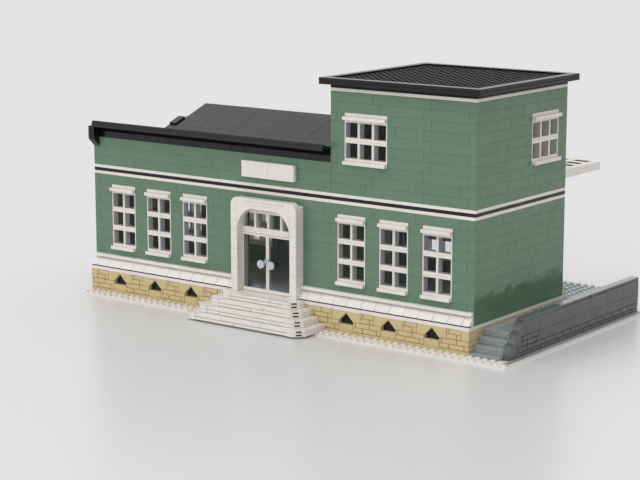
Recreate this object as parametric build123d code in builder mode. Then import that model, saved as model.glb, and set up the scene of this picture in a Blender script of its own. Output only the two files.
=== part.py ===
"""Brick-built toy model of a railway station: a gabled wing and a square tower on a studded base.

Every piece sits on one grid.  Lengths along the front and from front to back are counted in
studs, heights in plates.  X runs along the front, Y from the street to the tracks, Z up.
The origin is the middle of the whole footprint at the underside of the base.
"""
from build123d import *
import os

# ---- the grid (mm) ----
pitch = 8.0                     # one stud to the next
plate = 3.2                     # height of one plate
brick = 3                       # plates in one brick
base_thickness = 1.6
running_gap = 0.2               # free play beside a piece that moves

# ---- plan, in studs from the building's left end and from its front wall face ----
wing_length = 38
tower_width = 20
tower_depth = 20
wing_depth = 14
walk_width = 4                  # side walk between the tower and the parapet
walk_front = 2                  # the side walk starts here, behind its steps
outer_kerb = 1                  # base left free outside the parapet
front_margin = 3                # base in front of the front wall
rear_edge = 30                  # rear edge of the platform
wall = 1                        # thickness of every wall
plinth_step = 1                 # the plinth stands this far proud of the walls, front and rear

# ---- heights, in plates above the base ----
plinth_foot = 1
plinth_bricks = 2
ground_bricks = 10
course_plates = 3
wing_upper_bricks = 3
tower_upper_bricks = 10
deck_level = 6.6                # platform and side walk, just under the plinth's top
side_step_levels = (0.9, 2.8, 4.7)

plinth_top = plinth_foot + plinth_bricks * brick
floor_top = plinth_top + 1
course_base = floor_top + ground_bricks * brick
course_top = course_base + course_plates
wing_top = course_top + wing_upper_bricks * brick
tower_top = course_top + tower_upper_bricks * brick

# ---- parapet beside the walk ----
parapet_steps = 3               # sharp corners at the front end, a hollow curve between each two
parapet_first = 4               # height of the first, in plates
parapet_hollow = 9.4            # radius of the hollow curves
parapet_toe = 0.3               # how far the foot stands before the first corner, in studs
parapet_toe_level = 1.9
parapet_cap_start = 2.5
parapet_level = parapet_first + (parapet_steps - 1) * brick

# ---- windows: frames two studs wide and two bricks high, side by side and stacked ----
pane_width = 2
pane_height = 2 * brick
wing_window_starts = (3, 9, 15)
tower_window_starts = (39, 45, 51)
ground_columns = 2
ground_rows = 3
upper_columns = 3
upper_rows = 2
ground_sill = floor_top + 2 * brick
upper_sill = course_top + 3 * brick
upper_front_start = wing_length + 2
upper_side_start = 12
frame_rail = 2.5                # top and bottom rails of one frame
frame_stile = 1.25              # side of one frame
frame_depth = 6.4
glass_thickness = 1.0
ledge_reach = 4.0               # how far sills and head rails stand out

# ---- street door ----
door_start = 25
door_studs = 8
door_frame_front = 4.0          # the door frame stands out from the wall face
door_frame_depth = 8.0
door_frame_post = 0.8
door_height = 6 * brick
leaf_stile = 1.6
leaf_head_rail = 1.7
leaf_foot_rail = 3.3
leaf_thickness = 3.2
leaf_reach = 1.0                # the leaves stand this far proud of their frame
leaf_foot_gap = 0.4
leaf_glass = 1.2
fanlight_height = 2 * brick
surround_front = 12.0
surround_back = 4.0             # the arch stands this far in front of the wall face
surround_jamb = 1
surround_corner = 8.0
arch_radius = 24.0
arch_shoulder = 16.0            # the crown is level between two points this far in from the jambs
arch_drop = 10.2                # from the top of the surround down to the crown
handle_radius = 4.0
handle_thickness = 2.0
stalk_radius = 1.6
stalk_length = 2.4
handle_offset = 6.2             # from the meeting edge of the leaves

# ---- street steps ----
step_count = 4
step_rise = 2
landing_start = 23
landing_end = 35
landing_front = 3               # studs in front of the wall face
step_corner = 8.0

# ---- vents in the front plinth ----
wing_vent_starts = (4, 10, 16)
tower_vent_starts = (40, 46, 52)
vent_studs = 2
vent_sill = 3
vent_straight = 1

# ---- slopes and rails round the foot of the walls ----
slope_rise = 2.5                # plates from the foot of a slope to its top
slope_seat = 0.6                # joint under the slopes
foot_rail_level = floor_top + brick

# ---- sign over the door ----
sign_start = 25
sign_studs = 8
sign_level = 5                  # plates above the underside of the string course
sign_height = 2                 # studs
sign_thickness = 4.8

# ---- roofs ----
cornice_course = 2              # plates of the flush course on top of the wing wall
cornice_crest = 4               # plates from the wing wall up to the seat of the roof
bracket_foot = 3                # the end brackets start this far below the cornice
bracket_lip = 1.8               # straight edge over the slope of a bracket
bracket_top = 3.6               # plates above the wing wall
eave_reach = 12.3               # how far the tilted eave stands out in front of the wall
eave_edge = 11.8                # lower edge of the eave above the wing wall
eave_thickness = 6.4
eave_right = 0.8                # gap between the eave's end and the corner of the tower
roof_start = 13                 # the pitched roof begins this far along the wing
bay_drop = 2                    # plates from the top of the wing wall down to the flat roof
bay_sheet = 1                   # thickness of the flat roof
roof_setback = 2.0              # where the roof surface is one plate above its seat
ridge_rise = 20.0
roof_sheet = 5.2
gable_crest = 7.5               # plates from the wing wall to the top of the gable wall
verge_plate = 1.6               # thickness of the plate laid on each side of the gable
verge_plate_start = 10.0
verge_plate_end = 24.0
cap_plates = 1
deck_plates = 1
roof_edge_plates = 2
deck_raise = 1                  # the deck inside the roof edge lies this much higher
roof_overhang = 1

# ---- open canopy behind the tower ----
canopy_bottom = 18.4            # above the underside of the string course
canopy_height = 8.0
canopy_end = 28.5
canopy_columns = 6
canopy_rows = 4
canopy_slot = (2, 1)            # studs along and deep
canopy_spacing = (3, 2)
canopy_margin = 1               # bar beside the tower and at the right end

half_length = (wing_length + tower_width + walk_width + 1 + outer_kerb) * pitch / 2
street_reach = landing_front + step_count - 1
half_depth = (street_reach + rear_edge) * pitch / 2
building_length = wing_length + tower_width
door_end = door_start + door_studs
surround_start = door_start - surround_jamb
surround_end = door_end + surround_jamb
door_head = floor_top + door_height
fanlight_base = door_head + 1
fanlight_top = fanlight_base + fanlight_height
walk_end = building_length + walk_width


def along(studs):
    """X of a stud line counted from the left end of the building."""
    return studs * pitch - half_length


def deep(studs):
    """Y of a stud line counted from the front wall face towards the tracks."""
    return (studs + street_reach) * pitch - half_depth


def level(plates):
    """Z of a height counted in plates above the base."""
    return base_thickness + plates * plate


def facing_street(y):
    """A plane at depth y that faces the street; extruding on it comes forward."""
    return Plane.XZ.offset(-y)


def block(x0, x1, y0, y1, z0, z1, mode=Mode.ADD):
    """A square block between two corners."""
    with BuildSketch(Plane.XY.offset(z0)) as footprint:
        with Locations(((x0 + x1) / 2, (y0 + y1) / 2)):
            Rectangle(x1 - x0, y1 - y0)
    extrude(footprint.sketch, amount=z1 - z0, mode=mode)


def course(s0, s1, d0, d1, p0, p1, mode=Mode.ADD):
    """A block given in studs along, studs deep and plates up."""
    block(along(s0), along(s1), deep(d0), deep(d1), level(p0), level(p1), mode)


def section(points, s0, s1, mode=Mode.ADD):
    """A closed outline of (Y, Z) points, carried along the front between two stud lines."""
    with BuildSketch(Plane.YZ.offset(along(s0))) as outline:
        with BuildLine():
            Polyline(*points, close=True)
        make_face()
    extrude(outline.sketch, amount=(s1 - s0) * pitch, mode=mode)


def save(builder, label):
    """Name a finished piece and write it."""
    builder.part.label = label
    export_step(builder.part, f"parts/{label}.step")


os.makedirs("parts", exist_ok=True)

# ---------------------------------------------------------------- base, walk, platform, parapet
rear_plinth_wing = wing_depth + plinth_step
rear_plinth_tower = tower_depth + plinth_step

with BuildPart() as baseplate:
    block(-half_length, half_length, deep(-front_margin), deep(rear_edge), 0, base_thickness)
save(baseplate, "baseplate")

with BuildPart() as side_walk:
    course(building_length, walk_end, walk_front, rear_plinth_tower, 0, deck_level)
save(side_walk, "side_walk")

with BuildPart() as platform:
    course(0, wing_length, rear_plinth_wing, rear_edge - 1, 0, deck_level)
    course(wing_length, walk_end, rear_plinth_tower, rear_edge - 1, 0, deck_level)
save(platform, "platform")

with BuildPart() as platform_edge:
    course(0, walk_end, rear_edge - 1, rear_edge, 0, deck_level)
save(platform_edge, "platform_edge")

for number, height in enumerate(side_step_levels):
    with BuildPart() as side_step:
        course(building_length, walk_end, number - 1, number, 0, height)
    save(side_step, f"side_step_{number + 1}")

with BuildPart() as parapet:
    with BuildSketch(Plane.YZ.offset(along(walk_end))) as side_view:
        with BuildLine():
            toe = deep(-parapet_toe)
            corners = [(deep(number), level(parapet_first + number * brick)) for number in range(parapet_steps)]
            Polyline((deep(rear_edge), level(0)), (toe, level(0)), (toe, level(parapet_toe_level)), corners[0])
            for lower, upper in zip(corners, corners[1:]):
                RadiusArc(lower, upper, -parapet_hollow)
            Polyline(
                corners[-1], (deep(rear_edge), level(parapet_level)), (deep(rear_edge), level(0)))
        make_face()
    extrude(side_view.sketch, amount=pitch)
save(parapet, "parapet")

with BuildPart() as parapet_cap:
    course(walk_end, walk_end + 1, parapet_cap_start, rear_edge, parapet_level, parapet_level + 1)
save(parapet_cap, "parapet_cap")

# ---------------------------------------------------------------- plinth and ground floor
shoulder = level(vent_sill + vent_straight)

with BuildPart() as plinth_front:
    course(0, building_length, -plinth_step, wall, 0, plinth_top)
    for start in wing_vent_starts + tower_vent_starts:
        with BuildSketch(facing_street(deep(wall))) as vent:
            with BuildLine():
                Polyline(
                    (along(start), level(vent_sill)),
                    (along(start + vent_studs), level(vent_sill)),
                    (along(start + vent_studs), shoulder),
                    (along(start + vent_studs / 2), shoulder + vent_studs * pitch / 2),
                    (along(start), shoulder),
                    close=True,
                )
            make_face()
        extrude(vent.sketch, amount=(wall + plinth_step) * pitch, mode=Mode.SUBTRACT)
save(plinth_front, "plinth_front")

with BuildPart() as plinth_sides:
    course(0, wall, wall, wing_depth - wall, 0, plinth_top)
    course(building_length - wall, building_length, wall, tower_depth - wall, 0, plinth_top)
save(plinth_sides, "plinth_sides")

with BuildPart() as plinth_rear:
    course(0, wing_length, wing_depth - wall, rear_plinth_wing, 0, plinth_top)
    course(wing_length, wing_length + wall, wing_depth - wall, tower_depth - wall, 0, plinth_top)
    course(wing_length, building_length, tower_depth - wall, rear_plinth_tower, 0, plinth_top)
save(plinth_rear, "plinth_rear")

with BuildPart() as ground_floor:
    course(0, building_length, -plinth_step, rear_plinth_wing, plinth_top, floor_top)
    course(wing_length, building_length, rear_plinth_wing, rear_plinth_tower, plinth_top, floor_top)
save(ground_floor, "ground_floor")


# ---------------------------------------------------------------- walls
def window_hole(start, columns, rows, sill, back):
    """Cut one window, with the courses of its sill and head, through a wall that faces the street."""
    course(
        start, start + columns * pane_width, back - wall, back,
        sill, sill + rows * pane_height + 3, Mode.SUBTRACT,
    )


with BuildPart() as front_wall_left:
    course(0, door_start, 0, wall, floor_top, course_base)
    course(0, surround_start, 0, wall / 2, foot_rail_level, foot_rail_level + 1, Mode.SUBTRACT)
    for start in wing_window_starts:
        window_hole(start, ground_columns, ground_rows, ground_sill, wall)
save(front_wall_left, "front_wall_left")

with BuildPart() as front_wall_right:
    course(door_end, building_length, 0, wall, floor_top, course_base)
    course(surround_end, building_length, 0, wall / 2, foot_rail_level, foot_rail_level + 1, Mode.SUBTRACT)
    for start in tower_window_starts:
        window_hole(start, ground_columns, ground_rows, ground_sill, wall)
save(front_wall_right, "front_wall_right")

with BuildPart() as door_header:
    course(door_start, door_end, 0, wall, fanlight_top, course_base)
save(door_header, "door_header")

with BuildPart() as side_walls:
    course(0, wall, wall, wing_depth - wall, floor_top, course_base)
    course(wing_length, wing_length + wall, wing_depth, tower_depth - wall, floor_top, course_base)
    course(building_length - wall, building_length, wall, tower_depth - wall, floor_top, course_base)
save(side_walls, "side_walls")

with BuildPart() as rear_walls:
    for wall_start, wall_end, back, starts in (
        (0, wing_length, wing_depth, wing_window_starts),
        (wing_length, building_length, tower_depth, tower_window_starts),
    ):
        course(wall_start, wall_end, back - wall, back, floor_top, course_base)
        course(
            wall_start, wall_end, back - wall / 2, back,
            foot_rail_level, foot_rail_level + 1, Mode.SUBTRACT,
        )
        for start in starts:
            window_hole(start, ground_columns, ground_rows, ground_sill, back)
save(rear_walls, "rear_walls")


def wall_ring(bottom, top):
    """A ring as thick as the walls that follows them all round, between two heights."""
    course(0, building_length, 0, wall, bottom, top)
    course(0, wall, wall, wing_depth, bottom, top)
    course(wall, wing_length, wing_depth - wall, wing_depth, bottom, top)
    course(wing_length, wing_length + wall, wing_depth - wall, tower_depth, bottom, top)
    course(wing_length + wall, building_length, tower_depth - wall, tower_depth, bottom, top)
    course(building_length - wall, building_length, wall, tower_depth - wall, bottom, top)


with BuildPart() as string_course_white:
    wall_ring(course_base, course_base + 1)
    wall_ring(course_top - 1, course_top)
save(string_course_white, "string_course_white")

with BuildPart() as string_course_black:
    wall_ring(course_base + 1, course_top - 1)
save(string_course_black, "string_course_black")

# the flat-roofed bay at the left end is lower than the wing behind its front wall
gable_start = roof_start - wall
bay_top = wing_top - bay_drop
bay_walls = bay_top - bay_sheet

with BuildPart() as wing_upper_walls:
    course(0, wing_length, 0, wall, course_top, wing_top)
    course(0, gable_start, wing_depth - wall, wing_depth, course_top, bay_walls)
    course(gable_start, wing_length, wing_depth - wall, wing_depth, course_top, wing_top)
save(wing_upper_walls, "wing_upper_walls")

with BuildPart() as wing_upper_end:
    course(0, wall, wall, wing_depth - wall, course_top, bay_walls)
save(wing_upper_end, "wing_upper_end")

with BuildPart() as tower_floor:
    course(wing_length, building_length - wall, wall, wing_depth - wall, course_top - 1, course_top)
    course(
        wing_length + wall, building_length - wall, wing_depth - wall, tower_depth - wall,
        course_top - 1, course_top,
    )
save(tower_floor, "tower_floor")

with BuildPart() as tower_upper_front:
    course(wing_length, building_length, 0, wall, course_top, tower_top)
    window_hole(upper_front_start, upper_columns, upper_rows, upper_sill, wall)
save(tower_upper_front, "tower_upper_front")

with BuildPart() as tower_upper_rear:
    course(wing_length, building_length, tower_depth - wall, tower_depth, course_top, tower_top)
    window_hole(upper_front_start, upper_columns, upper_rows, upper_sill, tower_depth)
save(tower_upper_rear, "tower_upper_rear")

upper_side_end = upper_side_start + upper_columns * pane_width
upper_window_top = upper_sill + upper_rows * pane_height + 3

with BuildPart() as tower_upper_sides:
    course(wing_length, wing_length + wall, wall, tower_depth - wall, course_top, tower_top)
    course(building_length - wall, building_length, wall, tower_depth - wall, course_top, tower_top)
    course(
        building_length - wall, building_length, upper_side_start, upper_side_end,
        upper_sill, upper_window_top, Mode.SUBTRACT,
    )
save(tower_upper_sides, "tower_upper_sides")

# ---------------------------------------------------------------- tower roof
cap_top = tower_top + cap_plates
deck_top = cap_top + deck_plates

with BuildPart() as tower_cap:
    course(wing_length, building_length, 0, tower_depth, tower_top, cap_top)
    course(
        wing_length + wall, building_length - wall, wall, tower_depth - wall,
        tower_top, cap_top, Mode.SUBTRACT,
    )
save(tower_cap, "tower_cap")

with BuildPart() as tower_deck:
    course(wing_length, building_length, 0, tower_depth, cap_top, deck_top)
    course(
        wing_length + wall, building_length - wall, wall, tower_depth - wall,
        deck_top, deck_top + deck_raise,
    )
save(tower_deck, "tower_deck")

with BuildPart() as tower_roof_edge:
    course(
        wing_length - roof_overhang, building_length + roof_overhang,
        -roof_overhang, tower_depth + roof_overhang, deck_top, deck_top + roof_edge_plates,
    )
    course(
        wing_length + wall, building_length - wall, wall, tower_depth - wall,
        deck_top, deck_top + deck_raise, Mode.SUBTRACT,
    )
    course(
        wing_length, building_length, 0, tower_depth,
        deck_top + deck_raise, deck_top + roof_edge_plates, Mode.SUBTRACT,
    )
save(tower_roof_edge, "tower_roof_edge")

# ---------------------------------------------------------------- wing roof
seat = level(wing_top + cornice_crest)
ridge = seat + plate + ridge_rise
middle = (deep(0) + deep(wing_depth)) / 2
pitch_rise = ridge_rise / (middle - deep(0) - roof_setback)
pitch_run = (1 + pitch_rise ** 2) ** 0.5


def roof_height(y):
    """Height of the front half of the roof surface at a given depth."""
    return seat + plate + (y - deep(0) - roof_setback) * pitch_rise


def roof_depth(z):
    """Depth at which the front half of the roof surface reaches a given height."""
    return deep(0) + roof_setback + (z - seat - plate) / pitch_rise


# the eave leans back towards the roof at the roof's own pitch, and the two meet in a valley
edge_low = (deep(0) - eave_reach, level(wing_top) + eave_edge)
edge_high = (
    edge_low[0] + eave_thickness * pitch_rise / pitch_run,
    edge_low[1] + eave_thickness / pitch_run,
)
valley_y = (edge_high[0] + (edge_high[1] - seat - plate) / pitch_rise + deep(0) + roof_setback) / 2
valley = (valley_y, roof_height(valley_y))
eave_seat = (edge_high[0] + (edge_high[1] - seat) / pitch_rise, seat)
eave_wall = (deep(0), edge_low[1] - eave_reach * pitch_rise)


def turned(points):
    """The same outline on the rear half of the wing."""
    return tuple((2 * middle - y, z) for y, z in reversed(points))


with BuildPart() as cornice:
    wall_outline = (
        (deep(wall), level(wing_top)), (deep(0), level(wing_top)),
        (deep(0), level(wing_top + cornice_course)), eave_wall, (deep(0), seat), (deep(wall), seat),
    )
    eave_outline = (eave_wall, edge_low, edge_high, eave_seat, (deep(0), seat))
    bracket_outline = (
        (deep(0), level(wing_top - bracket_foot)),
        (deep(-1), level(wing_top) - bracket_lip),
        (deep(-1), level(wing_top + bracket_top)),
        (deep(0), level(wing_top + bracket_top)),
    )
    for start, outlines in (
        (0, (wall_outline, eave_outline, bracket_outline)),
        (gable_start, (turned(wall_outline), turned(eave_outline), turned(bracket_outline))),
    ):
        section(outlines[0], start, wing_length)
        section(outlines[1], start + wall, wing_length - eave_right / pitch)
        section(outlines[2], start, start + wall)
save(cornice, "cornice")

with BuildPart() as wing_flat_roof:
    course(0, gable_start, wall, wing_depth, bay_walls, bay_top)
    course(gable_start, roof_start, wall, wing_depth - wall, bay_walls, bay_top)
save(wing_flat_roof, "wing_flat_roof")

gable_top = level(wing_top + gable_crest)
plate_normal = (-verge_plate * pitch_rise / pitch_run, verge_plate / pitch_run)
plate_low = deep(0) + verge_plate_start
plate_high = deep(0) + verge_plate_end

with BuildPart() as roof_gable:
    slope_foot = (eave_seat, valley, (roof_depth(gable_top), gable_top))
    section(slope_foot + turned(slope_foot), gable_start, roof_start)
    verge_outline = (
        (plate_low, roof_height(plate_low)), (plate_high, roof_height(plate_high)),
        (plate_high + plate_normal[0], roof_height(plate_high) + plate_normal[1]),
        (plate_low + plate_normal[0], roof_height(plate_low) + plate_normal[1]),
    )
    for outline in (verge_outline, turned(verge_outline)):
        section(outline, gable_start, roof_start)
    course(gable_start, roof_start, wall, wing_depth - wall, bay_top, wing_top + cornice_crest)
save(roof_gable, "roof_gable")

with BuildPart() as wing_roof:
    surface = (eave_seat, valley)
    section(
        ((deep(wall), seat),) + surface + ((middle, ridge),) + turned(surface)
        + ((deep(wing_depth - wall), seat), (middle, ridge - roof_sheet)),
        roof_start, wing_length,
    )
save(wing_roof, "wing_roof")

# ---------------------------------------------------------------- slopes and ledges on the walls
with BuildPart() as foot_slopes:
    for face, outward, spans in (
        (deep(0), -1, ((0, surround_start), (surround_end, building_length))),
        (deep(wing_depth), 1, ((0, wing_length),)),
        (deep(tower_depth), 1, ((wing_length, building_length),)),
    ):
        nose = face + outward * plinth_step * pitch
        for span_start, span_end in spans:
            section(
                (
                    (face, level(floor_top)), (face, level(foot_rail_level)),
                    (nose, level(foot_rail_level - slope_rise)), (nose, level(floor_top) + slope_seat),
                    (nose - outward * slope_seat, level(floor_top) + slope_seat),
                    (nose - outward * slope_seat, level(floor_top)),
                ),
                span_start, span_end,
            )
save(foot_slopes, "foot_slopes")


def ledge(start, end, face, outward, p0, p1, depth):
    """A plate with a rail that stands out from the wall face, set into the wall to a given depth."""
    y0 = face - outward * depth * pitch
    y1 = face + outward * ledge_reach
    block(along(start), along(end), min(y0, y1), max(y0, y1), level(p0), level(p1))


front_face = (deep(0), -1)
wing_rear_face = (deep(wing_depth), 1)
tower_rear_face = (deep(tower_depth), 1)

with BuildPart() as foot_rails:
    ledge(0, surround_start, *front_face, foot_rail_level, foot_rail_level + 1, wall / 2)
    ledge(surround_end, building_length, *front_face, foot_rail_level, foot_rail_level + 1, wall / 2)
    ledge(0, wing_length, *wing_rear_face, foot_rail_level, foot_rail_level + 1, wall / 2)
    ledge(wing_length, building_length, *tower_rear_face, foot_rail_level, foot_rail_level + 1, wall / 2)
save(foot_rails, "foot_rails")

ground_windows = []
for starts, face in (
    (wing_window_starts, front_face), (tower_window_starts, front_face),
    (wing_window_starts, wing_rear_face), (tower_window_starts, tower_rear_face),
):
    for start in starts:
        ground_windows.append((start, ground_columns, ground_rows, ground_sill, *face))
upper_windows = [
    (upper_front_start, upper_columns, upper_rows, upper_sill, *front_face),
    (upper_front_start, upper_columns, upper_rows, upper_sill, *tower_rear_face),
]
all_windows = ground_windows + upper_windows
side_lip = along(building_length) + ledge_reach

with BuildPart() as window_ledges:
    for start, columns, rows, sill, face, outward in all_windows:
        end = start + columns * pane_width
        head = sill + 1 + rows * pane_height
        ledge(start, end, face, outward, sill, sill + 1, wall)
        ledge(start, end, face, outward, head, head + 1, wall)
    for side_level in (upper_sill, upper_window_top - 2):
        block(
            along(building_length - wall), side_lip, deep(upper_side_start), deep(upper_side_end),
            level(side_level), level(side_level + 1),
        )
save(window_ledges, "window_ledges")

with BuildPart() as window_heads:
    for start, columns, rows, sill, face, outward in all_windows:
        end = start + columns * pane_width
        head = sill + 2 + rows * pane_height
        y_inner = face - outward * wall * pitch
        block(along(start), along(end), min(face, y_inner), max(face, y_inner), level(head), level(head + 1))
    course(
        building_length - wall, building_length, upper_side_start, upper_side_end,
        upper_window_top - 1, upper_window_top,
    )
save(window_heads, "window_heads")


# ---------------------------------------------------------------- windows
def pane_openings(columns, rows):
    """The openings of stacked frames, in a sketch centred on their panel."""
    with GridLocations(pane_width * pitch, pane_height * plate, columns, rows):
        Rectangle(
            pane_width * pitch - 2 * frame_stile, pane_height * plate - 2 * frame_rail, mode=Mode.SUBTRACT,
        )


def window_panel(start, columns, rows, sill, outer, depth, with_openings):
    """One window's frames, or its sheet of glass, set behind the plane at outer by nothing."""
    width = columns * pane_width * pitch
    height = rows * pane_height * plate
    with BuildSketch(facing_street(outer + depth)) as panel:
        with Locations((along(start) + width / 2, level(sill + 1) + height / 2)):
            Rectangle(width, height)
            if with_openings:
                pane_openings(columns, rows)
    extrude(panel.sketch, amount=depth)


with BuildPart() as window_frames:
    for start, columns, rows, sill, face, outward in all_windows:
        outer = face if outward < 0 else face - frame_depth
        window_panel(start, columns, rows, sill, outer, frame_depth, True)
    with BuildSketch(Plane.YZ.offset(along(building_length) - frame_depth)) as side_panel:
        side_width = upper_columns * pane_width * pitch
        side_height = upper_rows * pane_height * plate
        with Locations((deep(upper_side_start) + side_width / 2, level(upper_sill + 1) + side_height / 2)):
            Rectangle(side_width, side_height)
            pane_openings(upper_columns, upper_rows)
    extrude(side_panel.sketch, amount=frame_depth)
save(window_frames, "window_frames")

frame_back = deep(0) - door_frame_front + door_frame_depth

with BuildPart() as window_glass:
    for start, columns, rows, sill, face, outward in all_windows:
        outer = face + frame_depth if outward < 0 else face - frame_depth - glass_thickness
        window_panel(start, columns, rows, sill, outer, glass_thickness, False)
    glass_x = along(building_length) - frame_depth
    block(
        glass_x - glass_thickness, glass_x, deep(upper_side_start), deep(upper_side_end),
        level(upper_sill + 1), level(upper_sill + 1 + upper_rows * pane_height),
    )
    block(
        along(door_start), along(door_end), frame_back, frame_back + glass_thickness,
        level(fanlight_base), level(fanlight_top),
    )
save(window_glass, "window_glass")

# ---------------------------------------------------------------- street door
surround_y = deep(0) - surround_back
surround_top = course_base - 1
arch_crown = level(surround_top) - arch_drop
arch_spring = arch_crown - (arch_radius ** 2 - (arch_radius - arch_shoulder) ** 2) ** 0.5
left_jamb = along(door_start)
right_jamb = along(door_end)

with BuildPart() as door_surround:
    with BuildSketch(facing_street(surround_y)) as arch:
        with Locations((along((surround_start + surround_end) / 2), level((floor_top + surround_top) / 2))):
            Rectangle((surround_end - surround_start) * pitch, (surround_top - floor_top) * plate)
        fillet(arch.vertices().group_by(Axis.Y)[-1], surround_corner)
        with BuildLine():
            Line((left_jamb, level(floor_top)), (left_jamb, arch_spring))
            RadiusArc((left_jamb, arch_spring), (left_jamb + arch_shoulder, arch_crown), arch_radius)
            Line((left_jamb + arch_shoulder, arch_crown), (right_jamb - arch_shoulder, arch_crown))
            RadiusArc((right_jamb - arch_shoulder, arch_crown), (right_jamb, arch_spring), arch_radius)
            Line((right_jamb, arch_spring), (right_jamb, level(floor_top)))
            Line((right_jamb, level(floor_top)), (left_jamb, level(floor_top)))
        make_face(mode=Mode.SUBTRACT)
    extrude(arch.sketch, amount=surround_front - surround_back)
    block(along(surround_start), left_jamb, surround_y, deep(0), level(floor_top), level(surround_top - 1))
    block(right_jamb, along(surround_end), surround_y, deep(0), level(floor_top), level(surround_top - 1))
    block(left_jamb, right_jamb, surround_y, deep(0), level(fanlight_top), level(surround_top - 1))
save(door_surround, "door_surround")

with BuildPart() as door_frame:
    with BuildSketch(facing_street(frame_back)) as frame_face:
        width = door_studs * pitch
        with Locations((left_jamb + width / 2, level((floor_top + fanlight_top) / 2))):
            Rectangle(width, (fanlight_top - floor_top) * plate)
        with Locations((left_jamb + width / 2, level((floor_top + door_head) / 2))):
            Rectangle(width - 2 * door_frame_post, door_height * plate, mode=Mode.SUBTRACT)
        with Locations((left_jamb + width / 2, level((fanlight_base + fanlight_top) / 2))):
            pane_openings(door_studs // pane_width, 1)
    extrude(frame_face.sketch, amount=door_frame_depth)
save(door_frame, "door_frame")

leaf_bottom = level(floor_top) + leaf_foot_gap
leaf_top = level(door_head) - running_gap
leaf_front = deep(0) - door_frame_front - leaf_reach
leaf_middle = leaf_front + leaf_thickness / 2
meeting_line = along((door_start + door_end) / 2)

for side, jamb, toward in (("left", left_jamb, 1), ("right", right_jamb, -1)):
    outer_edge = jamb + toward * (door_frame_post + running_gap)
    inner_edge = meeting_line - toward * running_gap
    x_low = min(outer_edge, inner_edge)
    x_high = max(outer_edge, inner_edge)
    with BuildPart() as door_leaf:
        block(x_low, x_high, leaf_front, leaf_front + leaf_thickness, leaf_bottom, leaf_top)
        hinge_edges = door_leaf.edges().filter_by(Axis.Z).group_by(Axis.X)[0 if toward > 0 else -1]
        fillet(hinge_edges, leaf_thickness / 2 - 0.01)
        block(
            x_low + leaf_stile, x_high - leaf_stile, leaf_front, leaf_front + leaf_thickness,
            leaf_bottom + leaf_foot_rail, leaf_top - leaf_head_rail, Mode.SUBTRACT,
        )
    save(door_leaf, f"door_leaf_{side}")
    with BuildPart() as door_glass:
        block(
            x_low + leaf_stile, x_high - leaf_stile,
            leaf_middle - leaf_glass / 2, leaf_middle + leaf_glass / 2,
            leaf_bottom + leaf_foot_rail, leaf_top - leaf_head_rail,
        )
    save(door_glass, f"door_glass_{side}")
    with BuildPart() as door_handle:
        handle_x = meeting_line - toward * handle_offset
        handle_z = level(floor_top + door_height / 2)
        stalk_back = leaf_middle - leaf_glass / 2
        with BuildSketch(facing_street(stalk_back)) as stalk:
            with Locations((handle_x, handle_z)):
                Circle(stalk_radius)
        extrude(stalk.sketch, amount=stalk_length)
        with BuildSketch(facing_street(stalk_back - stalk_length)) as knob:
            with Locations((handle_x, handle_z)):
                Circle(handle_radius)
        extrude(knob.sketch, amount=handle_thickness)
    save(door_handle, f"door_handle_{side}")

# ---------------------------------------------------------------- street steps
for number in range(step_count):
    with BuildPart() as entrance_step:
        top = floor_top - number * step_rise
        front = deep(-landing_front - number)
        back = deep(-plinth_step)
        with BuildSketch(Plane.XY.offset(level(top - step_rise))) as tread:
            with Locations((along((landing_start + landing_end) / 2), (front + back) / 2)):
                Rectangle((landing_end - landing_start + 2 * number) * pitch, back - front)
            chamfer(tread.vertices().group_by(Axis.Y)[0], step_corner)
        extrude(tread.sketch, amount=step_rise * plate)
    save(entrance_step, f"entrance_step_{number + 1}")

with BuildPart() as sign_board:
    sign_z = level(course_base + sign_level)
    block(
        along(sign_start), along(sign_start + sign_studs), deep(0) - sign_thickness, deep(0),
        sign_z, sign_z + sign_height * pitch,
    )
save(sign_board, "sign_board")

# ---------------------------------------------------------------- canopy
with BuildPart() as canopy:
    with BuildSketch(Plane.XY.offset(level(course_base) + canopy_bottom)) as lattice:
        canopy_width = tower_width * pitch
        canopy_depth = (canopy_end - tower_depth) * pitch
        first_slot = building_length - canopy_margin - canopy_slot[0] / 2
        slot_middle_x = along(first_slot - canopy_spacing[0] * (canopy_columns - 1) / 2)
        first_row = tower_depth + canopy_margin + canopy_slot[1] / 2
        slot_middle_y = deep(first_row + canopy_spacing[1] * (canopy_rows - 1) / 2)
        with Locations((along(wing_length) + canopy_width / 2, deep(tower_depth) + canopy_depth / 2)):
            Rectangle(canopy_width, canopy_depth)
        spacing_x = canopy_spacing[0] * pitch
        spacing_y = canopy_spacing[1] * pitch
        with Locations((slot_middle_x, slot_middle_y)):
            with GridLocations(spacing_x, spacing_y, canopy_columns, canopy_rows):
                Rectangle(canopy_slot[0] * pitch, canopy_slot[1] * pitch, mode=Mode.SUBTRACT)
    extrude(lattice.sketch, amount=canopy_height)
save(canopy, "canopy")
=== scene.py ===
"""Looks of the brick-built railway station toy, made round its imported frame.

Every piece stands on one grid of studs and plates, so each class keeps its places in those units:
studs along the front (from the left end), studs deep (from the front wall face to the tracks) and
plates up (from the top of the base).  `Grid` turns them into metres.  A `Lot` gathers the moulded
forms of one piece, worked out as whole arrays, and makes one mesh of them.
"""
import itertools
import logging
import math
from dataclasses import dataclass
from enum import Enum
from typing import Iterable, Sequence

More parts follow.
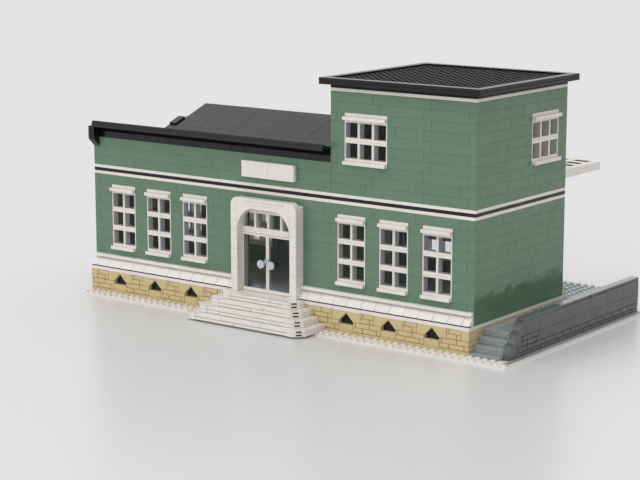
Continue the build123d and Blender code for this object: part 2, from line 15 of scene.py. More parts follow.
import bpy
import numpy as np
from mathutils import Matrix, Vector


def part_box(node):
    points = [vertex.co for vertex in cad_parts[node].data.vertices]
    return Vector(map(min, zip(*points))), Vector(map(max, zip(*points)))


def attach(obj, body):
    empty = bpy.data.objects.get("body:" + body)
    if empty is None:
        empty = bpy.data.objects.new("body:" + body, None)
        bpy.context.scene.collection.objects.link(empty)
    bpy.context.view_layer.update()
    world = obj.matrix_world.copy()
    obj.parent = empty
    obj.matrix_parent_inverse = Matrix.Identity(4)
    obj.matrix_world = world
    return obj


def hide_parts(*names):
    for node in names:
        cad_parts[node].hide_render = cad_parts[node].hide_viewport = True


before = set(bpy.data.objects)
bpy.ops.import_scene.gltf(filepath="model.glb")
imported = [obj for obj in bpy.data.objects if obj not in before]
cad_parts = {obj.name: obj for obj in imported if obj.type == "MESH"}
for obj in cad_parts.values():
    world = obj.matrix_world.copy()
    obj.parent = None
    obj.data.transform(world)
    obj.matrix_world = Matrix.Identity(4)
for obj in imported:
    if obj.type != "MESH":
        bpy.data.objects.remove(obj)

LOG = logging.getLogger("station")
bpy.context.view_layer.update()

PITCH, PLATE = 0.008, 0.0032
STUD_RADIUS, STUD_HEIGHT = 0.0024, 0.0017
SEAM, FINE_SEAM, EDGE = 0.00007, 0.0001, 0.00014
FLUSH = (0.00006, 0.00006, 0.00002)
SHARP_ANGLE = 38
LENGTH, WING, WING_DEPTH, TOWER_DEPTH, BAY = 58, 38, 14, 20, 12
PLINTH_TOP, FLOOR, COURSE, UPPER, EAVE, TOWER_TOP = 7, 8, 38, 41, 50, 71
PLATFORM, PLATFORM_END = 6.6, 29
DOOR, WALK_EDGE, WALK_END = (25, 33), 62, 21
Row = tuple[float, float, float, float, float, float]
Run = tuple[float, float]
Outline = Sequence[tuple[float, float]]


class Carry(Enum):
    """The direction a flat outline is carried in, and the order of its axes."""

    ALONG = (1, 2, 0)
    DEEP = (0, 2, 1)
    UP = (0, 1, 2)


class Facing(Enum):
    """The way a window faces: its sideways direction and the direction into the wall."""

    STREET = ((1.0, 0.0, 0.0), (0.0, 1.0, 0.0))
    TRACKS = ((-1.0, 0.0, 0.0), (0.0, -1.0, 0.0))
    WALK = ((0.0, 1.0, 0.0), (-1.0, 0.0, 0.0))


@dataclass(frozen=True)
class Grid:
    """Studs and plates in metres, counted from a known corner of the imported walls."""

    x0: float
    y0: float
    z0: float

    @classmethod
    def from_walls(cls) -> "Grid":
        """The grid whose corner is the front wall's lowest left one, eight plates up."""
        low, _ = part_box("front_wall_left")
        return cls(low.x, low.y, low.z - FLOOR * PLATE)

    def along(self, studs: float) -> float:
        """X of a stud line, or of an array of them."""
        return self.x0 + studs * PITCH

    def deep(self, studs: float) -> float:
        """Y of a stud line."""
        return self.y0 + studs * PITCH

    def level(self, plates: float) -> float:
        """Z of a height in plates."""
        return self.z0 + plates * PLATE

    def points(self, table: np.ndarray) -> np.ndarray:
        """Points in metres; the table's last axis is studs along, studs deep and plates up."""
        return np.array([self.x0, self.y0, self.z0]) + table * np.array([PITCH, PITCH, PLATE])

    def boxes(self, rows: Iterable[Row]) -> np.ndarray:
        """Lowest and highest corners, shape (boxes, 2, 3), of boxes given two marks to an axis."""
        return self.points(np.array(list(rows), float).reshape(-1, 3, 2).transpose(0, 2, 1))

    def front_view(self, marks: Outline) -> Outline:
        """Marks in studs along and plates up, in metres."""
        return [(self.along(s), self.level(p)) for s, p in marks]

    def side_view(self, marks: Outline) -> Outline:
        """Marks in studs deep and plates up, in metres."""
        return [(self.deep(s), self.level(p)) for s, p in marks]

    def spans(self, runs: Iterable[Run]) -> list[Run]:
        """Starts and ends along the front, in metres."""
        return [(self.along(a), self.along(b)) for a, b in runs]

    def mirrored(self, outline: Outline, rear: bool) -> Outline:
        """A section seen from the side, turned round the wing's middle if it is for the rear."""
        middle = 2 * self.deep(WING_DEPTH / 2)
        return [(middle - y, z) if rear else (y, z) for y, z in outline]


GRID = Grid.from_walls()


def cut_runs(start: float, end: float, joints: Iterable[float] = (), gaps: Iterable[Run] = ()) -> list[Run]:
    """The stretches between joints, without the gaps.

    Args:
        start: Start of the course.
        end: End of the course.
        joints: Where pieces meet.
        gaps: Stretches left free.

    Returns:
        Start and end of each piece, in order.
    """
    gaps = list(gaps)
    marks = {start, end, *(j for j in joints if start < j < end)}
    marks.update(m for gap in gaps for m in gap if start < m < end)
    line = sorted(marks)
    return [(a, b) for a, b in zip(line, line[1:]) if not any(g[0] <= (a + b) / 2 <= g[1] for g in gaps)]


def lengthwise(runs: Iterable[Run], near: float, far: float, low: float, high: float) -> list[Row]:
    """Boxes one after another along the front, all as deep and as high."""
    return [(a, b, near, far, low, high) for a, b in runs]


def crosswise(runs: Iterable[Run], left: float, right: float, low: float, high: float) -> list[Row]:
    """Boxes one behind another, all as wide and as high."""
    return [(left, right, a, b, low, high) for a, b in runs]


# ---------------------------------------------------------------- finishes
class Tree:
    """A node tree, with short ways to add nodes and to fill their inputs."""

    def __init__(self, owner: bpy.types.Material | bpy.types.World, place: str = "Object") -> None:
        """Turns the owner's nodes on, and keeps the coordinates that its textures, if any, are read in."""
        owner.use_nodes = True
        self.owner, self.tree = owner, owner.node_tree
        self.place = self.add("TexCoord").outputs[place] if place else None

    def fill(self, node: bpy.types.Node, values: dict) -> bpy.types.Node:
        """Fills inputs by name or number: a socket is linked, anything else is the input's value."""
        for name, value in values.items():
            if isinstance(value, bpy.types.NodeSocket):
                self.tree.links.new(value, node.inputs[name])
            else:
                node.inputs[name].default_value = value
        return node

    def add(self, kind: str, values: dict | None = None) -> bpy.types.Node:
        """Adds a shader node of a kind and fills its inputs."""
        return self.fill(self.tree.nodes.new("ShaderNode" + kind), values or {})

    def maths(self, operation: str, *values) -> bpy.types.NodeSocket:
        """One sum of numbers and sockets."""
        node = self.add("Math", dict(enumerate(values)))
        node.operation = operation
        return node.outputs[0]

    def noise(self, scale: float, detail: float) -> bpy.types.NodeSocket:
        """A noise of a given scale in metres to the minus one."""
        return self.add("TexNoise", {"Vector": self.place, "Scale": scale, "Detail": detail}).outputs["Fac"]

    def spread(self, value: bpy.types.NodeSocket, low: float, high: float) -> bpy.types.NodeSocket:
        """Noise values from 0.3 to 0.7 spread from low to high."""
        limits = {"From Min": 0.3, "From Max": 0.7, "To Min": low, "To Max": high}
        return self.add("MapRange", {"Value": value, **limits}).outputs["Result"]

    def bump(self, height: bpy.types.NodeSocket, depth: float,
             before: bpy.types.NodeSocket | None = None) -> bpy.types.NodeSocket:
        """A bump of a given depth in metres, on top of another if there is one."""
        values = {"Height": height, "Strength": 1.0, "Distance": depth}
        if before is not None:
            values["Normal"] = before
        return self.add("Bump", values).outputs["Normal"]

    def shade(self, **values) -> bpy.types.Material:
        """Fills the shader's inputs, named with underscores for spaces, and returns the material."""
        self.fill(self.tree.nodes["Principled BSDF"], {n.replace("_", " "): v for n, v in values.items()})
        return self.owner


@dataclass(frozen=True)
class PlasticFinish:
    """Moulded glossy plastic: one colour with a faint tone of its own on each piece."""

    name: str
    colour: tuple[float, float, float]
    roughness: float = 0.12
    tone: float = 0.03
    waves: float = 0.00003
    ior: float = 1.5
    scuff: float = 0.05
    scratch: float = 0.0000012

    def make(self) -> bpy.types.Material:
        """Base colour times tone and a soft mottle, roughness from fine scuffs, a broad and a fine bump.

        Returns:
            The material, read in Object coordinates and from the piece's tone attribute.
        """
        tree = Tree(bpy.data.materials.new(self.name + "_finish"))
        tone = tree.add("Attribute")
        tone.attribute_name = "tone"
        mottle, grain, swell = tree.noise(90.0, 3.0), tree.noise(1400.0, 4.0), tree.noise(55.0, 1.0)
        spread = tree.spread(mottle, 1.0 - self.tone * 0.6, 1.0 + self.tone * 0.6)
        value = tree.maths("MULTIPLY_ADD", tone.outputs["Fac"], self.tone, spread)
        tint = tree.add("HueSaturation", {"Color": (*self.colour, 1.0), "Value": value})
        return tree.shade(
            Base_Color=tint.outputs["Color"], IOR=self.ior,
            Roughness=tree.spread(grain, self.roughness, self.roughness + self.scuff),
            Normal=tree.bump(grain, self.scratch, tree.bump(swell, self.waves)))


@dataclass(frozen=True)
class ClearFinish:
    """Clear moulded panes with a faint tint and tiny waves."""

    name: str = "clear_pane"
    colour: tuple[float, float, float] = (0.90, 0.93, 0.95)

    def make(self) -> bpy.types.Material:
        """A smooth transmitting shader with a slight swell."""
        tree = Tree(bpy.data.materials.new(self.name + "_finish"))
        return tree.shade(
            Base_Color=(*self.colour, 1.0), Roughness=0.02, IOR=1.2, Transmission_Weight=1.0,
            Normal=tree.bump(tree.noise(70.0, 1.0), 0.00001))


@dataclass(frozen=True)
class MetalFinish:
    """Silvered plastic of the door handles."""

    name: str = "metal_grey"
    colour: tuple[float, float, float] = (0.56, 0.60, 0.64)

    def make(self) -> bpy.types.Material:
        """A half metallic shader whose roughness and value follow a fine grain."""
        tree = Tree(bpy.data.materials.new(self.name + "_finish"))
        grain = tree.noise(1800.0, 3.0)
        value = tree.spread(grain, 0.96, 1.04)
        tint = tree.add("HueSaturation", {"Color": (*self.colour, 1.0), "Value": value})
        return tree.shade(
            Base_Color=tint.outputs["Color"], Metallic=0.45, Roughness=tree.spread(grain, 0.22, 0.36))


class Finishes:
    """Every finish of the toy, made once.  Most go by the record's slot names.

    The last three plastics are duller ones: a darker black that paints the shade in hollows, gaps and under
    the eave, and two for studded decks.
    """

    kinds = (
        PlasticFinish("white_brick", (0.81, 0.765, 0.725)),
        PlasticFinish("green_brick", (0.124, 0.215, 0.140), roughness=0.07, waves=0.0012),
        PlasticFinish("tan_brick", (0.62, 0.50, 0.27)),
        PlasticFinish("black_brick", (0.006, 0.006, 0.006), roughness=0.18, tone=0.10, ior=1.42),
        PlasticFinish("dark_grey_brick", (0.095, 0.100, 0.105), roughness=0.09, tone=0.06, waves=0.0010),
        PlasticFinish("light_grey_brick", (0.30, 0.32, 0.33)),
        ClearFinish(),
        MetalFinish(),
        # painted shade: a darker, dull black for hollows, gaps and the eave's underside
        PlasticFinish("black_painted_shade", (0.004, 0.004, 0.004), roughness=0.7, tone=0.3, ior=1.15),
        PlasticFinish("black_studs", (0.006, 0.006, 0.006), roughness=0.32, ior=1.28),
        PlasticFinish("pale_studs", (0.50, 0.52, 0.53), roughness=0.2),
    )

    def __init__(self) -> None:
        """Makes each finish once."""
        self._made = {kind.name: kind.make() for kind in self.kinds}

    def dress(self, piece: bpy.types.Object, name: str) -> None:
        """Gives a piece one finish, in all of its material places."""
        materials = piece.data.materials
        if len(materials) == 0:
            materials.append(self._made[name])
        for place in range(len(materials)):
            materials[place] = self._made[name]
        for holder in piece.material_slots:
            holder.material = self._made[name]


FINISHES = Finishes()


# ---------------------------------------------------------------- forms
def block_form() -> tuple[np.ndarray, np.ndarray, list[np.ndarray]]:
    """The form of a block with softened edges.

    Each of the eight corners has three points, one on each of its faces.  A point lies at full
    reach along its own face's axis and is drawn in by the edge along the other two.

    Returns:
        Corner signs (24, 3), the axis at full reach (24, 3), and the faces: quads, then triangles.
    """
    corners = np.repeat(np.array(list(itertools.product((-1.0, 1.0), repeat=3))), 3, axis=0)
    full = np.tile(np.eye(3), (8, 1))
    quads = []
    for axis, end in itertools.product(range(3), (0, 1)):
        side, rise = (axis + 1) % 3, (axis + 2) % 3
        at = {
            (a, b): 3 * (end * (4 >> axis) + a * (4 >> side) + b * (4 >> rise))
            for a, b in itertools.product((0, 1), repeat=2)
        }
        quads.append([at[pair] + axis for pair in ((0, 0), (1, 0), (1, 1), (0, 1))])
        quads += [[at[a, 0] + axis, at[a, 1] + axis, at[a, 1] + side, at[a, 0] + side] for a in (0, 1)]
    points = corners * (0.8 + 0.2 * full)
    turned = []
    for faces in (np.array(quads), np.arange(24).reshape(8, 3)):
        corner = points[faces]
        normal = np.cross(corner[:, 1] - corner[:, 0], corner[:, 2] - corner[:, 0])
        inward = (normal * corner.mean(axis=1)).sum(axis=1) < 0
        faces[inward] = faces[inward][:, ::-1]
        turned.append(faces)
    return corners, full, turned


BLOCK_CORNERS, BLOCK_FULL, BLOCK_FACES = block_form()
PLAIN_ENDS = ((0, 0.0, EDGE), (0, EDGE, 0.0), (1, EDGE, 0.0), (1, 0.0, EDGE))
SHARP_ENDS = ((0, 0.0, 0.0), (1, 0.0, 0.0))


def softened(outline: Outline, edge: float = EDGE) -> np.ndarray:
    """An outline with every corner cut by a short chamfer.

    Each corner becomes two points, one on each of its sides, at an edge's length from it, or a
    third of a shorter side.

    Args:
        outline: The corners in order.
        edge: Length cut from each side.

    Returns:
        The new corners, counter-clockwise.
    """
    points = np.array(outline, float)
    after = np.roll(points, -1, axis=0)
    if (points[:, 0] * after[:, 1] - after[:, 0] * points[:, 1]).sum() < 0:
        points = points[::-1]
    cut = []
    for turn in (1, -1):
        side = np.roll(points, turn, axis=0) - points
        reach = np.linalg.norm(side, axis=1, keepdims=True)
        cut.append(points + side / reach * np.minimum(edge, reach / 3))
    return np.stack(cut, axis=1).reshape(-1, 2)


def drawn_in(outline: np.ndarray, distance: float) -> np.ndarray:
    """An outline moved inwards by a distance.

    Each corner moves along the sum of its two sides' inward normals, divided by one plus their
    dot product, so both sides end up that far in.
    """
    ahead = np.roll(outline, -1, axis=0) - outline
    ahead /= np.linalg.norm(ahead, axis=1, keepdims=True)
    normal = np.stack([-ahead[:, 1], ahead[:, 0]], axis=1)
    other = np.roll(normal, 1, axis=0)
    share = 1.0 + (normal * other).sum(axis=1, keepdims=True)
    return outline + distance * (normal + other) / share


def arc(centre: Sequence[float], radius: float, start: float, end: float, parts: int) -> np.ndarray:
    """Points on an arc: the centre plus the radius times the cosine and sine of each angle in degrees."""
    angles = np.radians(np.linspace(start, end, parts + 1))
    return np.stack([centre[0] + radius * np.cos(angles), centre[1] + radius * np.sin(angles)], axis=1)


def ring_faces(corners: int, starts: np.ndarray, beyond: np.ndarray) -> np.ndarray:
    """Quads that join rings of points to the rings beyond them.

    Args:
        corners: Points in each ring.
        starts: Number of each ring's first point.
        beyond: Number of the first point of the ring that it is joined to.
    """
    step = np.arange(corners)[None]
    after = (step + 1) % corners
    near, far = starts[:, None], beyond[:, None]
    return np.stack([near + step, near + after, far + after, far + step], axis=-1).reshape(-1, 4)


class Lot:
    """Forms gathered for one piece, made into a single mesh."""

    def __init__(self, name: str) -> None:
        """Starts an empty lot with the piece's name."""
        self.name = name
        self._points: list[np.ndarray] = []
        self._tones: list[np.ndarray] = []
        self._faces: list[list[int]] = []
        self._count = 0

    def add(self, points: np.ndarray, faces: Sequence[np.ndarray], flip: bool = False) -> "Lot":
        """Adds copies of one form.

        A copy's tone is the fractional part of a large sine of its centre, from minus one to one.

        Args:
            points: Vertices of every copy, shape (copies, vertices, 3).
            faces: Arrays of vertex numbers within one copy, each of shape (faces, corners).
            flip: Whether the faces turn round.

        Returns:
            The lot itself, as every way of adding forms does.
        """
        copies, size = points.shape[:2]
        starts = self._count + np.arange(copies) * size
        for group in faces:
            turned = group[:, ::-1] if flip else group
            self._faces.extend((turned[None] + starts[:, None, None]).reshape(-1, group.shape[1]).tolist())
        seed = np.sin(points.mean(axis=1) @ np.array([12989.8, 78233.1, 37719.3])) * 43758.5
        tone = (seed - np.floor(seed)) * 2.0 - 1.0
        self._points.append(points.reshape(-1, 3))
        self._tones.append(np.repeat(tone, size))
        self._count += copies * size
        return self

    def blocks(self, rows: Iterable[Row], edge: float = EDGE, seam: float | tuple = SEAM) -> "Lot":
        """Adds blocks with softened edges, given on the grid."""
        return self.solid_blocks(GRID.boxes(rows), edge, seam)

    def solid_blocks(self, boxes: np.ndarray, edge: float = EDGE, seam: float | tuple = SEAM) -> "Lot":
        """Adds blocks with softened edges.

        A point is the block's centre plus its corner signs times half the size, less the edge
        along the two axes that aren't its own face's.

        Args:
            boxes: Lowest and highest corners, shape (blocks, 2, 3), in metres.
            edge: Width of the softened edge.
            seam: How far each side stays clear of its neighbour: one distance, or one for each axis.
        """
        clear = np.broadcast_to(seam, 3)
        low, high = boxes[:, 0] + clear, boxes[:, 1] - clear
        centre, half = (low + high) / 2, (high - low) / 2
        cut = np.minimum(edge, half.min(axis=1) * 0.8)[:, None, None]
        reach = half[:, None] - cut * (1.0 - BLOCK_FULL)
        return self.add(centre[:, None] + BLOCK_CORNERS * reach, BLOCK_FACES)

    def carried(self, outline: np.ndarray, spans: Iterable[Run], carry: Carry = Carry.ALONG,
                ends: Sequence[tuple] = PLAIN_ENDS, seam: float = SEAM) -> "Lot":
        """Carries an outline along a direction, once for each span.

        Rings of the outline stand at given distances from either end, each drawn in by its own
        amount, and neighbouring rings are joined by quads.

        Args:
            outline: Counter-clockwise corners in metres, shape (corners, 2).
            spans: Start and end of each copy, in metres.
            carry: The direction.
            ends: The rings as end (0 or 1), distance from it and amount drawn in.
            seam: How far each end stays clear of its neighbour.
        """
        spans = np.array(list(spans), float)
        corners, rings = len(outline), len(ends)
        flat = np.stack([drawn_in(outline, inset) if inset else outline for _, _, inset in ends])
        reach = np.stack([
            spans[:, 0] + seam + offset if end == 0 else spans[:, 1] - seam - offset
            for end, offset, _ in ends
        ], axis=1)
        points = np.empty((len(spans), rings, corners, 3))
        first, second, third = carry.value
        points[..., first] = flat[None, :, :, 0]
        points[..., second] = flat[None, :, :, 1]
        points[..., third] = reach[:, :, None]
        starts = np.arange(rings - 1) * corners
        caps = np.stack([np.arange(corners)[::-1], np.arange(corners) + (rings - 1) * corners])
        faces = [ring_faces(corners, starts, starts + corners), caps]
        return self.add(points.reshape(len(spans), -1, 3), faces, carry is Carry.DEEP)

    def studs(self, centres: np.ndarray, height: float = STUD_HEIGHT, radius: float = STUD_RADIUS,
              parts: int = 14, edge: float = 0.00022) -> "Lot":
        """Adds upright studs.

        Three circles: the foot and the shoulder at full radius, and the top drawn in by the edge.

        Args:
            centres: Middle of each foot, shape (studs, 3), in metres.
            height: How far they stand up, or hang down if it is below zero.
            radius: Their radius.
            parts: Sides of each circle.
            edge: Width of the softened edge.
        """
        angles = np.arange(parts) * 2.0 * math.pi / parts
        form = np.empty((3, parts, 3))
        form[..., 0] = np.cos(angles)
        form[..., 1] = np.sin(angles)
        form[..., :2] *= np.array([radius, radius, radius - edge])[:, None, None]
        form[..., 2] = np.array([0.0, height - math.copysign(edge, height), height])[:, None]
        starts = np.array([0, parts])
        caps = np.stack([np.arange(parts)[::-1], np.arange(parts) + 2 * parts])
        points = centres[:, None] + form.reshape(1, -1, 3)
        return self.add(points, [ring_faces(parts, starts, starts + parts), caps], height < 0)

    def stud_field(self, left: float, right: float, near: float, far: float, top: float) -> "Lot":
        """Adds one stud in the middle of each square between stud lines, at a height in plates."""
        along, deep = np.meshgrid(np.arange(left, right) + 0.5, np.arange(near, far) + 0.5)
        marks = [along.ravel(), deep.ravel(), np.full(along.size, top)]
        return self.studs(GRID.points(np.stack(marks, axis=1)))

    def frames(self, middles: np.ndarray, section: np.ndarray, facing: Facing) -> "Lot":
        """Carries a frame's cross-section round rectangles two studs wide and six plates high.

        Each corner of the rectangle repeats the section, drawn in from the corner by the
        section's own distances sideways and up.

        Args:
            middles: Middle of each rectangle on the outer plane, shape (frames, 3).
            section: Distances in sideways, in upwards and into the wall, shape (points, 3).
            facing: The way the frames face.
        """
        side, into = (np.array(axis) for axis in facing.value)
        corner = np.array([(-1, -1), (1, -1), (1, 1), (-1, 1)], float)
        across = corner[:, None, 0] * (PITCH - section[None, :, 0])
        up = corner[:, None, 1] * (3 * PLATE - section[None, :, 1])
        deep = np.broadcast_to(section[None, :, 2], across.shape)
        form = across[..., None] * side + up[..., None] * np.array([0.0, 0.0, 1.0]) + deep[..., None] * into
        count = len(section)
        starts = np.arange(4) * count
        faces = ring_faces(count, starts, np.roll(starts, -1))
        return self.add(middles[:, None] + form.reshape(1, -1, 3), [faces], True)

    def make(self, slot: str, *stands_for: str, body: str = "building", look: str = "") -> None:
        """Makes the mesh, dresses it and hands it to its body.

        Args:
            slot: The record's slot it takes its finish from.
            stands_for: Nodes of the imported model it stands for.
            body: The body it rides on.
            look: The finish, where it isn't the slot's own.
        """
        mesh = bpy.data.meshes.new(self.name)
        mesh.from_pydata(np.concatenate(self._points).tolist(), [], self._faces)
        mesh.attributes.new("tone", "FLOAT", "POINT").data.foreach_set("value", np.concatenate(self._tones))
        mesh.shade_smooth()
        mesh.set_sharp_from_angle(angle=math.radians(SHARP_ANGLE))
        piece = bpy.data.objects.new(self.name, mesh)
        bpy.context.scene.collection.objects.link(piece)
        FINISHES.dress(piece, look or slot)
        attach(piece, body)
        if stands_for:
            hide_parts(*stands_for)
        LOG.info("%s: %d faces, %s", self.name, len(self._faces), slot)


# ---------------------------------------------------------------- walls
@dataclass(frozen=True)
class GreenWalls:
    """The bonded green walls of both storeys, one brick thick."""

    windows: tuple = ((3, 7), (9, 13), (15, 19), (39, 43), (45, 49), (51, 55))
    window_courses: range = range(2, 9)
    door: Run = DOOR
    upper_window: Run = (40, 46)
    side_window: Run = (12, 18)
    upper_courses: range = range(3, 8)

    def ground(self) -> None:
        """Ten courses under the string course; odd ones turn the corners, even ones run through."""
        rows: list[Row] = []
        front = {
            1: (1, 2, 8, 14, 20, 21, 25, 33, 37, 38, 44, 50, 56, 57), 9: (1, 8, 14, 20, 38, 44, 50, 57),
            10: (2, 8, 14, 20, 38, 44, 50, 56),
        }
        walk_side = {
            1: (6, 12, 18, 19), 2: (1, 7, 8, 14, 16, 17), 3: (6, 9, 15, 16), 4: (1, 7, 10, 16),
            5: (6, 12, 13, 14), 6: (1, 7, 13, 19), 7: (6, 12, 18), 8: (1, 8, 10, 11, 17),
            9: (6, 10, 14), 10: (1, 7, 13, 19),
        }
        stacks = {1: (18, 19), 2: (16, 17), 3: (15, 16), 5: (13, 14), 8: (10, 11)}
        for course in range(1, 11):
            top = COURSE - (course - 1) * 3
            low = top - 3
            inset = course % 2
            windows = self.windows if course in self.window_courses else ()
            openings = [*windows, self.door] if course >= 2 else []
            joints = front.get(course, (1, WING, LENGTH - 1) if inset else (20,))
            rows += lengthwise(cut_runs(inset, LENGTH - inset, joints, openings), 0, 1, low, top)
            for first, last, back in ((0, WING, WING_DEPTH), (WING, LENGTH, TOWER_DEPTH)):
                gaps = [w for w in windows if first <= w[0] < last]
                runs = cut_runs(first, last, (first + 2, *range(first + 8, last, 6)), gaps)
                rows += lengthwise(runs, back - 1, back, low, top)
            for run in cut_runs(1 - inset, TOWER_DEPTH - 1, walk_side[course]):
                plates = range(low, top) if run == stacks.get(course) else ()
                for foot, head in [(p, p + 1) for p in plates] or [(low, top)]:
                    rows += crosswise([run], LENGTH - 1, LENGTH, foot, head)
            end = cut_runs(1 - inset, WING_DEPTH - 1, (6, 10) if inset else (1, 7, 13))
            rows += crosswise(end, 0, 1, low, top)
            tower = cut_runs(WING_DEPTH, TOWER_DEPTH - 1, (15, 19) if inset else (17,))
            rows += crosswise(tower, WING, WING + 1, low, top)
        rows.append((*self.door, 0, 1, 33, 35))
        Lot("ground_storey_bricks").blocks(rows, seam=FLUSH).make(
            "green_brick", "front_wall_left", "front_wall_right", "door_header", "side_walls", "rear_walls")

    def wing_storey(self) -> None:
        """Three courses along the wing over the string course; the bay at its left is two high behind."""
        rows: list[Row] = []
        front = {1: (1, 7, 11, 15, 21, 27, 31, 37), 2: (2, 8, 14, 20, 26, 32), 3: (7, 13, 19, 25, 33)}
        for course, joints in front.items():
            low = UPPER + (course - 1) * 3
            high = low + 3
            first = 1 if course == 1 else 0
            rows += lengthwise(cut_runs(first, WING, joints), 0, 1, low, high)
            rows += lengthwise(
                cut_runs(BAY if course == 3 else 0, WING, joints), WING_DEPTH - 1, WING_DEPTH, low, high)
            if course < 3:
                runs = cut_runs(1 - first, WING_DEPTH - 1, (7, 11) if course == 2 else (5, 9))
                rows += crosswise(runs, 0, 1, low, high)
        Lot("wing_storey_bricks").blocks(rows, seam=FLUSH).make(
            "green_brick", "wing_upper_walls", "wing_upper_end")

    def tower_storey(self) -> None:
        """Ten courses of the tower over the string course, with its upper windows."""
        rows: list[Row] = []
        front = {
            1: (44, 48, 52), 2: (39, 45, 51, 57), 3: (39, 52), 4: (47, 51, 57), 5: (39, 52),
            6: (47, 51, 57), 7: (39, 52), 8: (39, 45, 51, 57), 9: (44, 50, 56), 10: (43, 47, 51, 57),
        }
        side = {
            1: (1, 7, 13, 19), 2: (6, 10, 14), 3: (1, 7, 11, 19), 4: (6,), 5: (1, 7, 11, 19), 6: (6,),
            7: (1, 7, 11, 19), 8: (6, 10, 14), 9: (1, 7, 13, 19), 10: (6, 10, 14),
        }
        for course in range(1, 11):
            top = TOWER_TOP - (course - 1) * 3
            low = top - 3
            inset = 1 - course % 2
            front_gaps, side_gaps = ((w,) if course in self.upper_courses else ()
                                     for w in (self.upper_window, self.side_window))
            for back, end in ((1, LENGTH - inset), (TOWER_DEPTH, LENGTH)):
                rows += lengthwise(cut_runs(WING, end, front[course], front_gaps), back - 1, back, low, top)
            rows += crosswise(
                cut_runs(1 - inset, TOWER_DEPTH - 1, side[course], side_gaps), LENGTH - 1, LENGTH, low, top)
            rows += crosswise(cut_runs(1, TOWER_DEPTH - 1, side[course]), WING, WING + 1, low, top)
        Lot("tower_storey_bricks").blocks(rows, seam=FLUSH).make(
            "green_brick", "tower_upper_front", "tower_upper_rear", "tower_upper_sides")

    def build(self) -> None:
        """Builds the three storeys of walls."""
        self.ground()
        self.wing_storey()
        self.tower_storey()


class StringCourse:
    """The white, black and white plates that run round the building between its storeys."""

    joints = {
        38: (4, 12, 20, 24, 30, 38, 46, 54),
        39: (6, 14, 22, 28, 36, 44, 52),
        40: (8, 16, 24, 32, 40, 48, 56),
    }

    def ring(self, low: int) -> list[Row]:
        """One plate high all round, cut at its joints."""
        high, joints = low + 1, self.joints[low]
        rows = lengthwise(cut_runs(0, LENGTH, joints), 0, 1, low, high)
        rows += lengthwise(cut_runs(1, WING + 1, joints), WING_DEPTH - 1, WING_DEPTH, low, high)
        rows += lengthwise(cut_runs(WING + 1, LENGTH, joints), TOWER_DEPTH - 1, TOWER_DEPTH, low, high)
        rows += crosswise(cut_runs(1, WING_DEPTH, (8,)), 0, 1, low, high)
        rows += crosswise(cut_runs(WING_DEPTH, TOWER_DEPTH, (16,)), WING, WING + 1, low, high)
        walk = cut_runs(1, TOWER_DEPTH - 1, (7 + low % 3 * 2, 15))
        return rows + crosswise(walk, LENGTH - 1, LENGTH, low, high)

    def build(self) -> None:
        """Builds the two white rings and the black one."""
        for colour, levels in (("white", (38, 40)), ("black", (39,))):
            rows = [row for low in levels for row in self.ring(low)]
            lot = Lot(f"string_course_{colour}_plates").blocks(rows)
            lot.make(f"{colour}_brick", f"string_course_{colour}")


@dataclass(frozen=True)
class Masonry:
    """Raised faces of small masonry, four rows to two bricks, with grooves between them."""

    relief: float = 0.14
    groove: float = 0.045
    lap: float = 0.05

    def faces(self, first: float, last: float, odd: int, low: float,
              gaps: Iterable[Run] = ()) -> Iterable[tuple]:
        """The raised faces of one masonry course.

        Each two-stud brick has two rows; the upper is cut 0.36 of a stud from its start and the
        lower 1.36, and neighbours read as one face.

        Args:
            first: Start of the course in studs.
            last: End of the course.
            odd: Where the bricks start, 0 or 1.
            low: Foot of the course in plates.
            gaps: Smooth stretches.

        Yields:
            The face's start and end as a run, then its foot and top, grooves taken off.
        """
        side, rise = self.groove, self.groove * 2.5
        for row, shift in ((1, 0.36), (0, 1.36)):
            cuts = np.arange(first - 4 + (first - odd) % 2, last + 4, 2) + shift
            for a, b in cut_runs(first, last, cuts.tolist(), gaps):
                yield (a + side, b - side), low + 1.5 * row + rise, low + 1.5 * (row + 1) - rise


